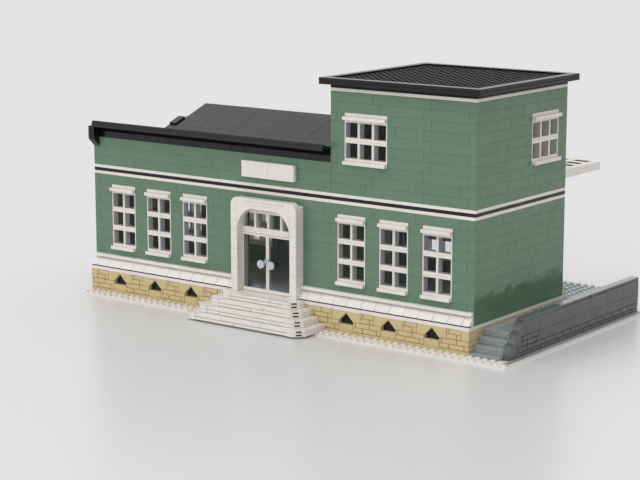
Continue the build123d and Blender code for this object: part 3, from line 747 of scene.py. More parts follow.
@dataclass(frozen=True)
class Plinth:
    """The tan plinth: small masonry faces in four rows, smooth pieces with vents between them."""

    front: float = -1.0
    inner: float = 0.9
    vent_depth: float = 0.6
    vents: tuple = (4, 10, 16, 40, 46, 52)
    stone: Masonry = Masonry()

    def street_side(self) -> list[Row]:
        """Core and raised faces of the front, with the vents left open."""
        face, core = self.front, self.front + self.stone.relief
        upper_gaps = [(v - 1, v + 3) for v in self.vents]
        lower_gaps = [(v, v + 2) for v in self.vents]
        ends = [(0, 1), (LENGTH - 1, LENGTH)]
        rows = lengthwise(cut_runs(0, LENGTH, range(6, LENGTH, 8)), face, 1, 0, 1)
        runs = cut_runs(0, LENGTH, range(2, LENGTH, 2), lower_gaps)
        rows += lengthwise([(a, min(b, LENGTH - self.stone.relief)) for a, b in runs], core, 1, 1, 4)
        rows += lengthwise(cut_runs(1, LENGTH - 1, range(1, LENGTH, 2), upper_gaps), core, 1, 4, PLINTH_TOP)
        rows += lengthwise(lower_gaps, face, face + self.vent_depth, 1, 3)
        rows += lengthwise(ends, face, 1, 4, PLINTH_TOP)
        for odd, foot, gaps in ((0, 1, lower_gaps), (1, 4, upper_gaps + ends)):
            for run, low, high in self.stone.faces(0, LENGTH, odd, foot, gaps):
                rows += lengthwise([run], face, core + self.stone.lap, low, high)
        return rows

    def end_sides(self) -> list[Row]:
        """Base row, core and raised faces of the two ends; the right one also shows at its front."""
        left, right = self.stone.relief, LENGTH - self.stone.relief
        wing, tower = [(1, WING_DEPTH - 1)], [(1, TOWER_DEPTH - 1)]
        rows = crosswise(wing, 0, 1, 0, 1) + crosswise(tower, LENGTH - 1, LENGTH, 0, 1)
        rows += crosswise(wing, left, 1, 1, PLINTH_TOP) + crosswise(tower, LENGTH - 1, right, 1, PLINTH_TOP)
        for odd, foot, start in ((0, 1, -0.9), (1, 4, 1)):
            for run, low, high in self.stone.faces(*wing[0], odd, foot):
                rows += crosswise([run], 0, left + self.stone.lap, low, high)
            for run, low, high in self.stone.faces(start, TOWER_DEPTH - 1, odd, foot):
                rows += crosswise([run], right - self.stone.lap, LENGTH, low, high)
        return rows

    def build(self) -> None:
        """Builds the front with its vents, black blocks behind them that paint the shade inside the vents,
        and the two ends.
        """
        lot = Lot("plinth_street_bricks").blocks(self.street_side())
        behind = self.front + self.vent_depth
        depth = [(GRID.deep(self.front), GRID.deep(behind))]
        for middle, side in itertools.product((v + 1 for v in self.vents), (-1, 1)):
            outer = middle + side * 2
            inner, top = middle + side, PLINTH_TOP
            marks = [(outer, 4), (inner, 4), (middle, 6.5), (middle, top), (outer, top)]
            lot.carried(softened(GRID.front_view(marks)), depth, Carry.DEEP)
        lot.make("tan_brick", "plinth_front")
        # black blocks behind the vents: painted shade inside them
        shade_fill = Lot("vent_backs")
        for lap, low, high in ((0, 1, 4), (1, 4, PLINTH_TOP)):
            runs = [(v - lap, v + 2 + lap) for v in self.vents]
            shade_fill.blocks(lengthwise(runs, behind, self.inner, low, high))
        shade_fill.make("black_brick")
        Lot("plinth_end_bricks").blocks(self.end_sides()).make("tan_brick", "plinth_sides")


def rail_outline(face: float, low: float, outward: int, depth: float) -> np.ndarray:
    """The section of a plate with a rail: a lip half a stud proud, hollowed underneath.

    Args:
        face: The wall face, in metres.
        low: The plate's foot.
        outward: Minus one or plus one, the way the lip points.
        depth: How far the plate goes into the wall, in studs.

    Returns:
        The outline in metres.
    """
    high, hollow = low + PLATE, low + 0.0019
    rear, lip = face - outward * depth * PITCH, face + outward * 0.004
    ridge = face + outward * (0.004 - 0.0013)
    return softened([
        (rear, low), (rear, high), (lip, high), (lip, low),
        (ridge, low), (ridge, hollow), (face, hollow), (face, low),
    ])


@dataclass(frozen=True)
class FootSlopes:
    """White slopes two studs wide over the plinth, with a thin rail on top of them."""

    spans: tuple = (
        (0, 24, 0, -1), (34, LENGTH, 0, -1), (0, WING, WING_DEPTH, 1), (WING, LENGTH, TOWER_DEPTH, 1))
    joint: float = 0.00014
    nose: Run = (8.36, 8.46)
    step: float = 0.6
    inset: float = 0.0009

    def build(self) -> None:
        """Builds the slopes, a black strip under their noses that paints the shadow in the gap there, and
        the rails over them.
        """
        slopes, rails, gaps = Lot("foot_slope_pieces"), Lot("foot_rail_pieces"), Lot("foot_slope_painted_shadow")
        rings = ((0.0007, self.inset), (0.0, self.inset), (0.0, EDGE), (EDGE, 0.0))
        ends = (*((0, *ring) for ring in rings), *((1, *ring) for ring in rings[::-1]))
        for start, end, wall, outward in self.spans:
            nose = wall + outward
            rear = nose - outward * self.step
            section = softened(GRID.side_view([
                (wall, FLOOR), (wall, 11), (wall + outward * 0.06, 11), (nose, self.nose[1]),
                (nose, self.nose[0]), (rear, 8.32), (rear, FLOOR)]))
            slopes.carried(section, GRID.spans(cut_runs(start, end, range(start + 1, end, 2))), ends=ends,
                           seam=self.joint)
            outer, inner = sorted((wall + outward * 0.9, wall + outward * 0.4))
            # a black strip set back under each nose: painted shadow in the gap
            gaps.blocks([(start + 0.1, end - 0.1, outer, inner, 8.02, 8.31)])
            rail = rail_outline(GRID.deep(wall), GRID.level(11), outward, 0.5 if wall else 1.0)
            joints = range(start + 8 - (start % 8 if outward < 0 else 0), end, 8)
            rails.carried(rail, GRID.spans(cut_runs(start + 0.02, end - 0.02, joints)))
        slopes.make("white_brick", "foot_slopes")
        gaps.make("black_brick", look="black_painted_shade")
        rails.make("white_brick", "foot_rails")


# ---------------------------------------------------------------- windows
def fanlight_middles(deep: float) -> np.ndarray:
    """Middles of the four fanlights over the street door, at a stud line."""
    along = DOOR[0] + 1 + 2 * np.arange(4)
    return GRID.points(np.stack([along, np.full(4, float(deep)), np.full(4, 30)], axis=1))


def frame_section(stile: float, rail: float, depth: float, edge: float, gap: float,
                  rebate: Outline = ()) -> np.ndarray:
    """A window frame's section, with soft outer and inner edges.

    Args:
        stile: How far the frame comes in from the sides.
        rail: How far it comes in from above and below.
        depth: How far it goes into the wall.
        edge: Width of the softened edges.
        gap: How far it stays clear of its neighbour.
        rebate: Steps in the inner face, each as distance from it and depth.

    Returns:
        Distances in sideways, in upwards and into the wall, shape (points, 3).
    """
    return np.array([
        (gap, gap, edge), (gap + edge, gap + edge, 0), (stile - edge, rail - edge, 0), (stile, rail, edge),
        *((stile - away, rail - away, into) for away, into in rebate),
        (stile, rail, depth - edge), (stile - edge, rail - edge, depth),
        (gap + edge, gap + edge, depth), (gap, gap, depth - edge),
    ])


@dataclass(frozen=True)
class Windows:
    """Stacked white frames with clear panes, their sills, head rails and head strips."""

    ground: tuple = (3, 9, 15, 39, 45, 51)
    sills: Run = (14, 50)
    stile: float = 0.00125
    rail: float = 0.0025
    pane_edge: float = 0.00008
    lip: float = 0.00055

    def middles(self, start: float, columns: int, rows: int, sill: float, wall: float,
                facing: Facing) -> np.ndarray:
        """Middle of every pane of one window, on the wall's outer face.

        Args:
            start: First stud of the window along its wall.
            columns: Panes side by side, each two studs wide.
            rows: Panes one over the other, each six plates high.
            sill: The sill's foot in plates.
            wall: The wall's outer face in studs.
            facing: The way it faces.
        """
        across, up = np.meshgrid(start + 1 + 2 * np.arange(columns), sill + 4 + 6 * np.arange(rows))
        table = [across.ravel(), np.full(across.size, float(wall))]
        if facing is Facing.WALK:
            table.reverse()
        return GRID.points(np.stack([*table, up.ravel()], axis=1))

    def build(self) -> None:
        """Builds frames, panes, ledges and strips for every window."""
        frames, panes = Lot("window_frame_pieces"), Lot("window_pane_pieces")
        ledges, heads = Lot("window_ledge_pieces"), Lot("window_head_pieces")
        rebate = ((0, 0.0007), (self.lip, 0.0007), (self.lip, 0.0019), (0, 0.0019))
        section = frame_section(self.stile, self.rail, 0.0078, 0.0002, 0.00004, rebate)
        low_sill, high_sill = self.sills
        windows = []
        for start in self.ground:
            back = WING_DEPTH if start < WING else TOWER_DEPTH
            for wall, facing in ((0, Facing.STREET), (back, Facing.TRACKS)):
                windows.append((start, 2, 3, low_sill, wall, facing))
        windows += [
            (40, 3, 2, high_sill, 0, Facing.STREET), (40, 3, 2, high_sill, TOWER_DEPTH, Facing.TRACKS),
            (12, 3, 2, high_sill, LENGTH, Facing.WALK),
        ]
        for start, columns, rows, sill, wall, facing in windows:
            middles = self.middles(start, columns, rows, sill, wall, facing)
            frames.frames(middles, section, facing)
            side, into = (np.abs(np.array(axis)) for axis in facing.value)
            half = side * (PITCH - self.stile + 0.0005) + np.array([0, 0, 3 * PLATE - self.rail + 0.0005])
            middle = middles + np.array(facing.value[1]) * 0.0013
            reach = half + into * 0.00045
            panes.solid_blocks(np.stack([middle - reach, middle + reach], axis=1), self.pane_edge, 0.0)
            end, head = start + columns * 2, sill + 1 + rows * 6
            walk = facing is Facing.WALK
            outward = -1 if wall == 0 else 1
            carry, at, to = Carry.ALONG, GRID.deep, GRID.along
            if walk:
                carry, at, to = Carry.DEEP, GRID.along, GRID.deep
            runs = [(to(s), to(s + 2)) for s in range(start, end, 2)]
            for level in (sill, head):
                ledges.carried(rail_outline(at(wall), GRID.level(level), outward, 1.0), runs, carry)
            depth = sorted((wall, wall - outward))
            heads.blocks((crosswise if walk else lengthwise)([(start, end)], *depth, head + 1, head + 2))
        frames.make("white_brick", "window_frames")
        ledges.make("white_brick", "window_ledges")
        heads.make("white_brick", "window_heads")
        self.fanlight_panes(panes)
        panes.make("clear_pane", "window_glass")

    def fanlight_panes(self, panes: Lot) -> None:
        """Adds the four panes over the street door."""
        middle = fanlight_middles(0)
        reach = np.array([PITCH - self.stile + 0.0004, 0.0004, 3 * PLATE - self.rail + 0.0004])
        panes.solid_blocks(np.stack([middle - reach, middle + reach], axis=1), self.pane_edge, 0.0)


# ---------------------------------------------------------------- roofs
@dataclass(frozen=True)
class Cornice:
    """The black edge of the wing roof: a flush course, end brackets and a tilted eave in two layers."""

    reach: float = 0.0123
    edge: float = 0.0118
    layer: float = 0.0032
    rise: float = 0.3704
    lip: float = 0.0014
    crown: float = 0.0019
    joints_low: tuple = (20,)
    joints_high: tuple = (5, 11, 17, 23, 29, 35, 36, 37)
    bracket_seam: float = 0.00012
    bracket_levels: tuple = (50, 51, 52, 53, 53.6)

    def tilted(self, low: float, high: float, front: float, back: float) -> Outline:
        """A strip of the eave's section.

        Args:
            low: Height over the eave's underside, square to it.
            high: Height of the strip's upper side.
            front: Distance back from its lower front edge, along the slope.
            back: Where the strip ends.
        """
        run = math.hypot(1.0, self.rise)
        down, up = np.array([1.0, -self.rise]) / run, np.array([self.rise, 1.0]) / run
        corner = np.array([GRID.deep(0) - self.reach, GRID.level(EAVE) + self.edge])
        marks = ((front, low), (back, low), (back, high), (front, high))
        return [tuple(corner + down * d + up * h) for d, h in marks]

    def build(self) -> None:
        """Builds both long sides; the one over the tracks starts behind the low bay. The courses, strip and
        tubes under the eave get a darker, dull black that paints the shade there.
        """
        # the pieces under the eave are real, their darker dull black is painted shade
        lot, hollow = Lot("cornice_pieces"), Lot("cornice_underside_shaded")
        length = self.reach * math.hypot(1.0, self.rise)
        for rear, near, start in ((False, 0, 0), (True, WING_DEPTH - 1, BAY)):
            far = near + 1
            lot.blocks(lengthwise(cut_runs(start, WING, range(1, WING, 2)), near, far, EAVE, 52))
            hollow.blocks(lengthwise(cut_runs(start, WING, range(6, WING, 6)), near, far, 52, 54))
            for part, joints, strip in (
                (lot, self.joints_low, (0.0, self.layer, 0.0, self.lip)),
                (hollow, self.joints_low, (self.crown, self.layer, self.lip, length * 0.97)),
                (lot, self.joints_high, (self.layer, 2 * self.layer, 0.0, length - 0.0038)),
            ):
                outline = softened(GRID.mirrored(self.tilted(*strip), rear))
                part.carried(outline, GRID.spans(cut_runs(start + 1, WING - 0.1, joints)))
            brackets = [[(0, 47), (-1, 49.4375), (-1, EAVE), (0, EAVE)]]
            for low, high in zip(self.bracket_levels, self.bracket_levels[1:]):
                brackets.append([(0, low), (-1, low), (-1, high), (0, high)])
            for marks in brackets:
                outline = softened(GRID.mirrored(GRID.side_view(marks), rear))
                lot.carried(outline, GRID.spans([(start, start + 1)]), seam=self.bracket_seam)
            self.tubes(hollow, start + 1, rear)
        lot.make("black_brick", "cornice")
        hollow.make("black_brick", look="black_painted_shade")

    def tubes(self, lot: Lot, start: int, rear: bool) -> None:
        """Adds the round tubes under the eave, one to a stud, hanging in its hollow."""
        (y, z), *_ = GRID.mirrored(self.tilted(0.0, 0.0, 0.0058, 0.0058), rear)
        x = GRID.along(np.arange(start + 1, WING))
        feet = np.stack([x, np.full(x.size, y), np.full(x.size, z + 0.0021)], axis=1)
        lot.studs(feet, height=-0.0016, radius=0.0026, parts=10)


@dataclass(frozen=True)
class WingRoof:
    """The pitched roof behind the cornice and the flat studded roof at its left."""

    thickness: float = 0.0047
    edge: float = 0.0002
    overlap: float = 1.02
    start: int = BAY + 1
    seams: tuple = (16.75, 22.375, 28.0, 33.625)
    rows: tuple = (0.0, 0.18, 0.39, 0.60, 0.81, 1.0)

    def build(self) -> None:
        """Builds both slopes: rows of smooth pieces on one closed sheet, each a strip carried along."""
        foot = np.array([GRID.deep(0) - 0.00125, GRID.level(EAVE) + 0.0148])
        ridge = np.array([GRID.deep(WING_DEPTH / 2), GRID.level(EAVE) + 0.036])
        run = (ridge - foot) / np.linalg.norm(ridge - foot)
        under = np.array([run[1], -run[0]]) * self.thickness / 2
        plumb = np.array([0.0, self.thickness / 2 / run[0]])
        tiles, whole = cut_runs(self.start, WING, self.seams), [(self.start, WING)]
        strips = []
        for low, high in zip(self.rows, self.rows[1:]):
            a, b = foot + (ridge - foot) * low, foot + (ridge - foot) * high
            strips.append(([a, b, b - plumb if high == 1.0 else b + under, a + under], tiles, FINE_SEAM))
        edge = foot + run * 0.0026
        lap = self.overlap
        sheet = [edge + lap * under, ridge - lap * plumb, ridge - 2 * plumb, edge + 2 * under]
        strips.append((sheet, whole, SEAM))
        lot = Lot("wing_roof_pieces")
        for (corners, runs, seam), rear in itertools.product(strips, (False, True)):
            lot.carried(softened(GRID.mirrored(corners, rear), self.edge), GRID.spans(runs), seam=seam)
        for near in (1, WING_DEPTH - 2):
            lot.blocks(lengthwise(whole, near, near + 1, 52.5, 54))
        lot.make("black_brick", "wing_roof")
        Lot("flat_roof_studs").stud_field(0, BAY, 1, WING_DEPTH, 48).make("black_brick")


class TowerRoof:
    """White cap plates, a black studded deck and the smooth edge that overhangs the walls."""

    def ring(self, low: float, high: float, inner: int, outer: int, joints: Sequence[int]) -> list[Row]:
        """A ring of pieces between two offsets from the tower's wall face."""
        x0, x1, y0, y1 = WING - outer, LENGTH + outer, -outer, TOWER_DEPTH + outer
        width = inner + outer
        along, deep = cut_runs(x0, x1, [WING + j for j in joints]), cut_runs(y0 + width, y1 - width, joints)
        rows = [row for y in (y0, y1 - width) for row in lengthwise(along, y, y + width, low, high)]
        return rows + [row for x in (x0, x1 - width) for row in crosswise(deep, x, x + width, low, high)]

    def build(self) -> None:
        """Builds cap, deck studs and edge."""
        cap = Lot("tower_cap_plates").blocks(self.ring(TOWER_TOP, 72, 1, 0, (4, 10, 16)))
        cap.make("white_brick", "tower_cap")
        edge = Lot("tower_roof_edge_pieces").blocks(self.ring(73, 74, 1, 1, (3, 9, 15)))
        edge.blocks(self.ring(74, 75, 0, 1, (5, 11, 17))).make("black_brick", "tower_roof_edge")
        studs = Lot("tower_deck_studs").stud_field(WING, LENGTH, 0, TOWER_DEPTH, 74)
        studs.make("black_brick", look="black_studs")


# ---------------------------------------------------------------- street door
@dataclass(frozen=True)
class DoorSurround:
    """The white arch round the street door, built from jamb bricks, arch pieces and a row of tiles."""

    front: float = -1.5
    back: float = -0.5
    corner: float = 0.008
    radius: float = 0.024
    flat: float = 0.008
    crown: float = 0.0102
    edge: float = 0.0001

    def outlines(self) -> list[Outline]:
        """The left corner piece and the left half of the arch, seen from the front."""
        start = DOOR[0]
        left, top = GRID.along(start), GRID.level(37)
        centre = (left + self.radius, top - self.crown - math.sqrt(self.radius ** 2 - self.flat ** 2))
        bend = arc(centre, self.radius, 180, math.degrees(math.acos(-self.flat / self.radius)), 12)
        outer = (GRID.along(start - 1) + self.corner, top - self.corner)
        rounded = [(left, GRID.level(33)), (left, top), *arc(outer, self.corner, 90, 180, 8)[1:]]
        return [
            [*rounded, *GRID.front_view([(start - 1, 33)])],
            [(left, GRID.level(36)), (left, bend[0][1]), *bend[1:],
             *GRID.front_view([(start + 2, 35), (start + 1, 35), (start + 1, 36)])],
        ]

    def build(self) -> None:
        """Builds jambs, corner pieces, arch, top row, the flanges behind and the frame in the arch."""
        lot = Lot("door_surround_pieces")
        (left, right), face, rear = DOOR, self.front, self.back
        jambs, courses = ((left - 1, left), (right, right + 1)), cut_runs(FLOOR, 33, range(9, 33, 3))
        lot.blocks([(*jamb, face, rear, a, b) for a, b in courses for jamb in jambs])
        lot.blocks(lengthwise(cut_runs(left, right, range(left, right)), face, rear, 36, 37))
        crown = (GRID.level(37) - self.crown - GRID.z0) / PLATE
        lot.blocks([(left + 1, right - 1, face, rear, 35, 36), (left + 2, right - 2, face, rear, crown, 35)])
        middle = 2 * GRID.along((left + right) / 2)
        for outline, turned in itertools.product(self.outlines(), (False, True)):
            points = [(middle - x, z) if turned else (x, z) for x, z in outline]
            lot.carried(softened(points, self.edge), [(GRID.deep(face), GRID.deep(rear))], Carry.DEEP)
        flanges = [(left, right, rear, 0, 33, 36)]
        flanges += [(*jamb, rear, 0, a, b) for a, b in (*courses, (33, 36)) for jamb in jambs]
        lot.blocks(flanges).make("white_brick", "door_surround")
        self.frame_in_arch()

    def frame_in_arch(self) -> None:
        """Builds the posts, the transom and the four fanlight frames."""
        lot = Lot("door_frame_pieces")
        (left, right), front, back, post, transom = DOOR, -0.5, 0.5, 0.1, 26
        posts = [(left, left + post), (right - post, right)]
        rows = lengthwise(posts, front, back, FLOOR, transom)
        lot.blocks([*rows, (left, right, front, back, transom, transom + 1)], seam=0.00002)
        section = frame_section(0.00125, 0.0025, 0.0079, 0.0002, 0.00003)
        lot.frames(fanlight_middles(front), section, Facing.STREET)
        lot.make("white_brick", "door_frame")


class DoorPulls:
    """The pull bars of the two glazed leaves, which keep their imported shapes."""

    def build(self) -> None:
        """Adds an upright bar beside each handle's disc and the arm that joins it to the disc."""
        for side, toward in (("left", 1), ("right", -1)):
            low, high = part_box(f"door_handle_{side}")
            x, z = (low.x + high.x) / 2, (low.z + high.z) / 2
            bar, y = x + toward * 0.0046, high.y - 0.0016
            boxes = [
                ((bar - 0.0006, y - 0.0012, z + 0.0008), (bar + 0.0006, y, z + 0.0052)),
                ((min(x, bar), y - 0.0010, z + 0.0020), (max(x, bar), y - 0.0002, z + 0.0030)),
            ]
            lot = Lot(f"door_pull_{side}").solid_blocks(np.array(boxes), 0.0002, 0.0)
            lot.make("metal_grey", body=f"door_{side}")


# ---------------------------------------------------------------- ground
@dataclass(frozen=True)
class EntranceSteps:
    """Four white steps, each two plates high, with cut corners and slots in their cut faces."""

    joints: tuple = ((27, 31), (27, 31), (23, 27, 31, 35), (26, 32))
    seam: float = 0.00024
    edge: float = 0.00008
    notch: float = 0.0075
    slot: Run = (0.26, 0.74)
    heights: tuple = (0.00011, 0.0009, 0.0024, PLATE - 0.00011)

    def cut_face(self, x: float, y: float, turn: int, share: Run, depths: Run) -> list[np.ndarray]:
        """The corners of a slot in a cut face, in order along the face.

        Args:
            x: The corner's outer side in metres.
            y: Its front.
            turn: Minus one for a left corner, plus one for a right one.
            share: Where the slot starts and ends, as parts of the face.
            depths: Its near and far distance behind the face.
        """
        a, b = np.array([x - turn * PITCH, y]), np.array([x, y + PITCH])
        inward = np.array([-turn, 1.0]) / math.sqrt(2.0)
        near, far = (inward * depth for depth in depths)
        low, high = (a + (b - a) * part for part in share)
        return [low + near, low + far, high + far, high + near]

    def corner(self, x: float, y: float, turn: int, notched: bool) -> np.ndarray:
        """The plan of a two-stud corner plate, its outer corner cut at 45 degrees and slotted if asked."""
        inner, cut = x - turn * 2 * PITCH, y + PITCH
        slot = self.cut_face(x, y, turn, self.slot, (0.0, self.notch)) if notched else []
        return softened([
            (inner, y), (x - turn * PITCH, y), *slot, (x, cut), (x, y + 2 * PITCH), (inner, y + 2 * PITCH),
        ], self.edge)

    def build(self) -> None:
        """Builds every step as one piece of its own, with black inserts in its slots that paint the shade
        inside them.
        """
        for number, upper_joints in enumerate(self.joints):
            name = f"entrance_step_{number + 1}"
            lot, slot_shadow_inserts = Lot(f"{name}_plates"), Lot(f"{name}_slots")
            left, right, front = DOOR[0] - 2 - number, DOOR[1] + 2 + number, -3 - number
            lower_joints = tuple(j + 2 for j in upper_joints[:-1])
            for low, joints in enumerate((lower_joints, upper_joints), 6 - 2 * number):
                middle = cut_runs(left + 2, right - 2, joints)
                lot.blocks(lengthwise(middle, front, front + 2, low, low + 1), seam=self.seam)
                if front + 2 < -1:
                    lot.blocks(lengthwise(cut_runs(left, right, joints), front + 2, -1, low, low + 1))
                levels = [GRID.level(low) + height for height in self.heights]
                for turn, edge in ((-1, left), (1, right)):
                    x, y = GRID.along(edge), GRID.deep(front)
                    for span, notched in zip(zip(levels, levels[1:]), (False, True, False)):
                        lot.carried(self.corner(x, y, turn, notched), [span], Carry.UP, SHARP_ENDS, 0.0)
                    # black inserts in each slot: painted shade in its hollow
                    inside = np.array(self.cut_face(x, y, turn, (0.27, 0.73), (0.0006, 0.0072)))[::turn]
                    slot_shadow_inserts.carried(inside, [tuple(levels[1:3])], Carry.UP, SHARP_ENDS, 0.0)
            lot.make("white_brick", name)
            slot_shadow_inserts.make("black_brick", look="black_painted_shade")


@dataclass(frozen=True)
class SideWalk:
    """Light grey side steps and walk beside the tower, smooth in front and studded behind."""

    front: float = 2
    studded: float = 13
    levels: tuple = (0.9, 2.8, 4.7)
    layer: float = 0.95
    tile_joints: tuple = (4, 6, 8, 10, 12, 13, 17)

    def build(self) -> None:
        """Builds the three steps, the walk's tiles and the studs."""
        left, right, front, back = LENGTH, WALK_EDGE, self.front, WALK_END
        outer_joints = (left + 1, right - 1)
        for number, height in enumerate(self.levels):
            lot = Lot(f"side_step_{number + 1}_plates")
            for order, low in enumerate(np.arange(height - self.layer, -0.1, -self.layer).tolist()):
                runs = cut_runs(left, right, (left + 2,) if order % 2 else outer_joints)
                lot.blocks(lengthwise(runs, number - 1, number, max(low, 0.0), low + self.layer))
            lot.make("light_grey_brick", f"side_step_{number + 1}")
        tiles, plates = PLATFORM - self.layer, PLATFORM - 2 * self.layer
        walk = Lot("side_walk_tiles").blocks([(left, right, front, back, 0, plates)])
        walk.blocks(lengthwise(cut_runs(left, right, outer_joints), front, back, plates, tiles))
        for run in cut_runs(front, back, self.tile_joints):
            walk.blocks([(s, s + 2, *run, tiles, PLATFORM) for s in (left, left + 2)])
        walk.stud_field(left, right, self.studded, back, PLATFORM).make("light_grey_brick", "side_walk")


@dataclass(frozen=True)
class Parapet:
    """The dark grey parapet: hollow-curved front pieces, masonry at its foot, smooth panels above."""

    end: float = PLATFORM_END + 1
    relief: float = 0.12
    pale_from: int = 11
    pale_joints: tuple = (14, 18, 22, 26)
    hollow: float = 0.0094
    toe: Run = (-0.3, 1.9)
    edge: float = 0.0001
    stone: Masonry = Masonry()

    def end_piece(self, number: int) -> Outline:
        """The outline of one front piece, seen from the side, in metres.

        Args:
            number: 0 for the foot piece, 1 and 2 for those over it, whose fronts are hollow curves.
        """
        if number == 0:
            return GRID.side_view([(self.toe[0], 0), self.toe, (0, 4), (1, 4), (1, 0)])
        foot, top = 3 * number, 3 * number + 4
        low, high = (np.array(mark) for mark in GRID.side_view([(number - 1, foot + 1), (number, top)]))
        chord = high - low
        half = float(np.hypot(*chord)) / 2
        lift = math.sqrt(self.hollow ** 2 - half ** 2)
        centre = (low + high) / 2 + np.array([-chord[1], chord[0]]) / (2 * half) * lift
        start, end = (math.degrees(math.atan2(z - centre[1], y - centre[0])) for y, z in (low, high))
        curve = arc(centre, self.hollow, start, end + (360 if end < start - 180 else 0), 10)
        marks = [(number + 1, top), (number + 1, foot), (number, foot), (number, foot + 1)]
        return [*curve, *GRID.side_view(marks)]

    def build(self) -> None:
        """Builds the wall with its cap, dark in front and pale farther back."""
        lot, left, right, end = Lot("parapet_pieces"), WALK_EDGE, WALK_EDGE + 1, self.end
        for number in range(3):
            lot.carried(softened(self.end_piece(number), self.edge), GRID.spans([(left, right)]))
        core = right - self.relief
        lap = core - self.stone.lap
        rows = crosswise(cut_runs(1, end, range(2, end, 2)), left, core, 0, 3)
        rows += crosswise(cut_runs(2, 6, (4,)), left, core, 3, 6)
        rows += crosswise(cut_runs(6, end, range(10, end, 4)), left, right, 3, 6)
        rows += crosswise(cut_runs(3, end, (4, 6, 10, *self.pale_joints)), left, right, 6, 10)
        for first, last, odd, foot in ((1, end, 1, 0), (2, 6, 0, 3)):
            for run, low, high in self.stone.faces(first, last, odd, foot):
                rows += crosswise([run], lap, right, low, high)
        lot.blocks(rows)
        lot.blocks(crosswise(cut_runs(2.5, self.pale_from, (6, 10)), left, right, 10, 11), self.edge)
        pale, ledge = cut_runs(self.pale_from, end, self.pale_joints), right - 0.1
        lot.blocks(crosswise(pale, ledge, right, 10.15, 10.7)).make("dark_grey_brick", "parapet")
        cap = Lot("parapet_cap_tiles")
        for run in pale:
            cap.blocks([(left, ledge, *run, 10, 10.7), (left, right, *run, 10.7, 11)], self.edge)
        cap.make("light_grey_brick", "parapet_cap")


class BaseStuds:
    """Studs of the white base in front, of the platform behind, and the pale strip by the parapet."""

    def build(self) -> None:
        """Builds the fields of studs and the strip."""
        kerb, end = WALK_EDGE + 1, PLATFORM_END + 1
        front = Lot("base_studs").stud_field(0, 20, -3, -1, 0)
        front.stud_field(WING, kerb + 1, -3, -2, 0).stud_field(WING, kerb, -2, -1, 0).make("white_brick")
        rear = Lot("platform_studs").stud_field(0, WING, WING_DEPTH + 1, PLATFORM_END, PLATFORM)
        rear.stud_field(WING, WALK_EDGE, WALK_END, PLATFORM_END, PLATFORM)
        rear.make("light_grey_brick", look="pale_studs")
        runs = cut_runs(-2, end, range(6, end, 6))
        Lot("kerb_strip").blocks(crosswise(runs, kerb, kerb + 0.6, -0.1, 0.3)).make("light_grey_brick")


@dataclass(frozen=True)
class Canopy:
    """Dark grey linings that paint the shade inside the slots of the open canopy behind the tower."""

    columns: range = range(40, 56, 3)
    rows: range = range(21, 28, 2)
    levels: Run = (43.8, 46.15)
    wall: float = 0.05

    def build(self) -> None:
        """Lines the four sides of every slot with painted shade."""
        lot, wall = Lot("canopy_slot_shade_linings"), self.wall
        for left, near in itertools.product(self.columns, self.rows):
            right, far = left + 2, near + 1
            sides = [(near, near + wall), (far - wall, far)]
            lot.blocks(crosswise(sides, left, right, *self.levels))
            ends = [(left, left + wall), (right - wall, right)]
            lot.blocks(lengthwise(ends, near + wall, far - wall, *self.levels))
        lot.make("dark_grey_brick")


class SignBoard:
    """The bare white sign: two smooth tiles on a backing plate."""

    def build(self) -> None:
        """Builds the backing and the two tiles."""
        low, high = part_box("sign_board")
        middle, tile = (low.x + high.x) / 2, low.y + PLATE / 2
        boxes = [
            ((low.x, tile, low.z), (high.x, high.y, high.z)),
            ((low.x, low.y, low.z), (middle, tile, high.z)),
            ((middle, low.y, low.z), (high.x, tile, high.z)),
        ]
        Lot("sign_board_tiles").solid_blocks(np.array(boxes), 0.0002).make("white_brick", "sign_board")


class PackedParts:
    """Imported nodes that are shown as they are, by the finish they get."""

    nodes = {
        "white_brick": (
            "baseplate", "platform_edge", "ground_floor", "tower_floor", "door_leaf_left", "door_leaf_right",
            "canopy"),
        "pale_studs": ("platform",),
        "tan_brick": ("plinth_rear",),
        "black_studs": ("tower_deck",),
        "black_brick": ("wing_flat_roof", "roof_gable"),
        "clear_pane": ("door_glass_left", "door_glass_right"),
        "metal_grey": ("door_handle_left", "door_handle_right"),
    }

    def build(self) -> None:
        """Dresses each of them."""
        for finish, names in self.nodes.items():
            for name in names:
                FINISHES.dress(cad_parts[name], finish)
                LOG.info("%s: packed shape, %s", name, finish)


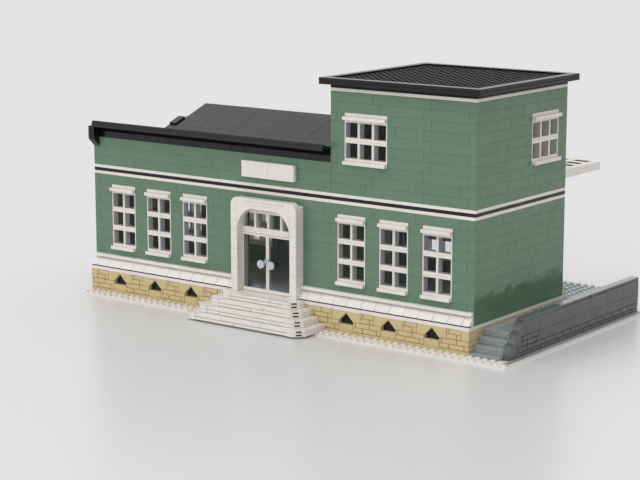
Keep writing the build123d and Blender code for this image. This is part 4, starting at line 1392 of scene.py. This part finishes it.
# ---------------------------------------------------------------- studio
@dataclass(frozen=True)
class Studio:
    """A plain pale floor, an even bright room and one camera."""

    place: tuple[float, float, float] = (1.0623, -1.46226, 0.41887)
    yaw: float = -0.6444
    dip: float = -0.1922
    lens: float = 103.6
    reach: float = 40.0
    paint: float = 0.71
    soft_light: tuple[float, float, float] = (0.0, -0.62, 0.78)
    level: float = 0.77
    overhead: float = 0.24
    glow: float = 0.85
    shade: float = 0.40

    def floor(self) -> None:
        """A wide flat floor at the underside of the base."""
        mesh = bpy.data.meshes.new("studio_floor")
        corners = [(x * self.reach, y * self.reach, 0) for x, y in ((-1, -1), (1, -1), (1, 1), (-1, 1))]
        mesh.from_pydata(corners, [], [(0, 1, 2, 3)])
        floor = bpy.data.objects.new("studio_floor", mesh)
        bpy.context.scene.collection.objects.link(floor)
        tree = Tree(bpy.data.materials.new("studio_floor_paint"), place="")
        mesh.materials.append(tree.shade(
            Base_Color=(self.paint, self.paint, self.paint, 1.0), Roughness=0.30, Specular_IOR_Level=1.0))

    def room(self) -> None:
        """An even world, brighter overhead and towards a soft light up in front, dimmer at the right.

        Its strength is a level, plus a share of the height, plus the fourth power of the cosine to the
        soft light's direction, less a share of the way to the right.
        """
        world = bpy.data.worlds.new("studio_room")
        bpy.context.scene.world = world
        tree = Tree(world, "Generated")
        parts = tree.add("SeparateXYZ", {0: tree.place}).outputs
        facing = tree.add("VectorMath")
        facing.operation = "DOT_PRODUCT"
        tree.fill(facing, {0: tree.place, 1: Vector(self.soft_light).normalized()})
        glow = tree.maths("POWER", tree.maths("MAXIMUM", facing.outputs["Value"], 0.0), 4.0)
        up, right = (tree.maths("MAXIMUM", parts[axis], 0.0) for axis in ("Z", "X"))
        level = tree.maths("MULTIPLY_ADD", up, self.overhead, self.level)
        level = tree.maths("MULTIPLY_ADD", glow, self.glow, level)
        strength = tree.maths("MULTIPLY_ADD", right, -self.shade, level)
        tree.fill(tree.tree.nodes["Background"], {"Color": (1.0, 1.0, 1.0, 1.0), "Strength": strength})

    def camera(self) -> None:
        """The camera, looking along its yaw and dip."""
        data = bpy.data.cameras.new("view")
        data.lens = self.lens
        data.sensor_width = 36.0
        camera = bpy.data.objects.new("view", data)
        bpy.context.scene.collection.objects.link(camera)
        flat = math.cos(self.dip)
        ahead = Vector((flat * math.sin(self.yaw), flat * math.cos(self.yaw), math.sin(self.dip)))
        camera.location = self.place
        camera.rotation_mode = "QUATERNION"
        camera.rotation_quaternion = ahead.to_track_quat("-Z", "Y")
        bpy.context.scene.camera = camera

    def build(self) -> None:
        """Sets up floor, room and camera."""
        self.floor()
        self.room()
        self.camera()
        bpy.context.scene.view_settings.view_transform = "Standard"


def main() -> None:
    """Builds every part of the station in order, then the studio."""
    logging.basicConfig(level=logging.INFO, format="%(name)s %(message)s")
    parts = (
        BaseStuds(), Plinth(), GreenWalls(), StringCourse(), FootSlopes(), Windows(), Cornice(), WingRoof(),
        TowerRoof(), DoorSurround(), DoorPulls(), EntranceSteps(), SideWalk(), Parapet(), SignBoard(),
        Canopy(), PackedParts(), Studio(),
    )
    for part in parts:
        LOG.info("building %s", type(part).__name__)
        part.build()


if __name__ == "__main__":
    main()
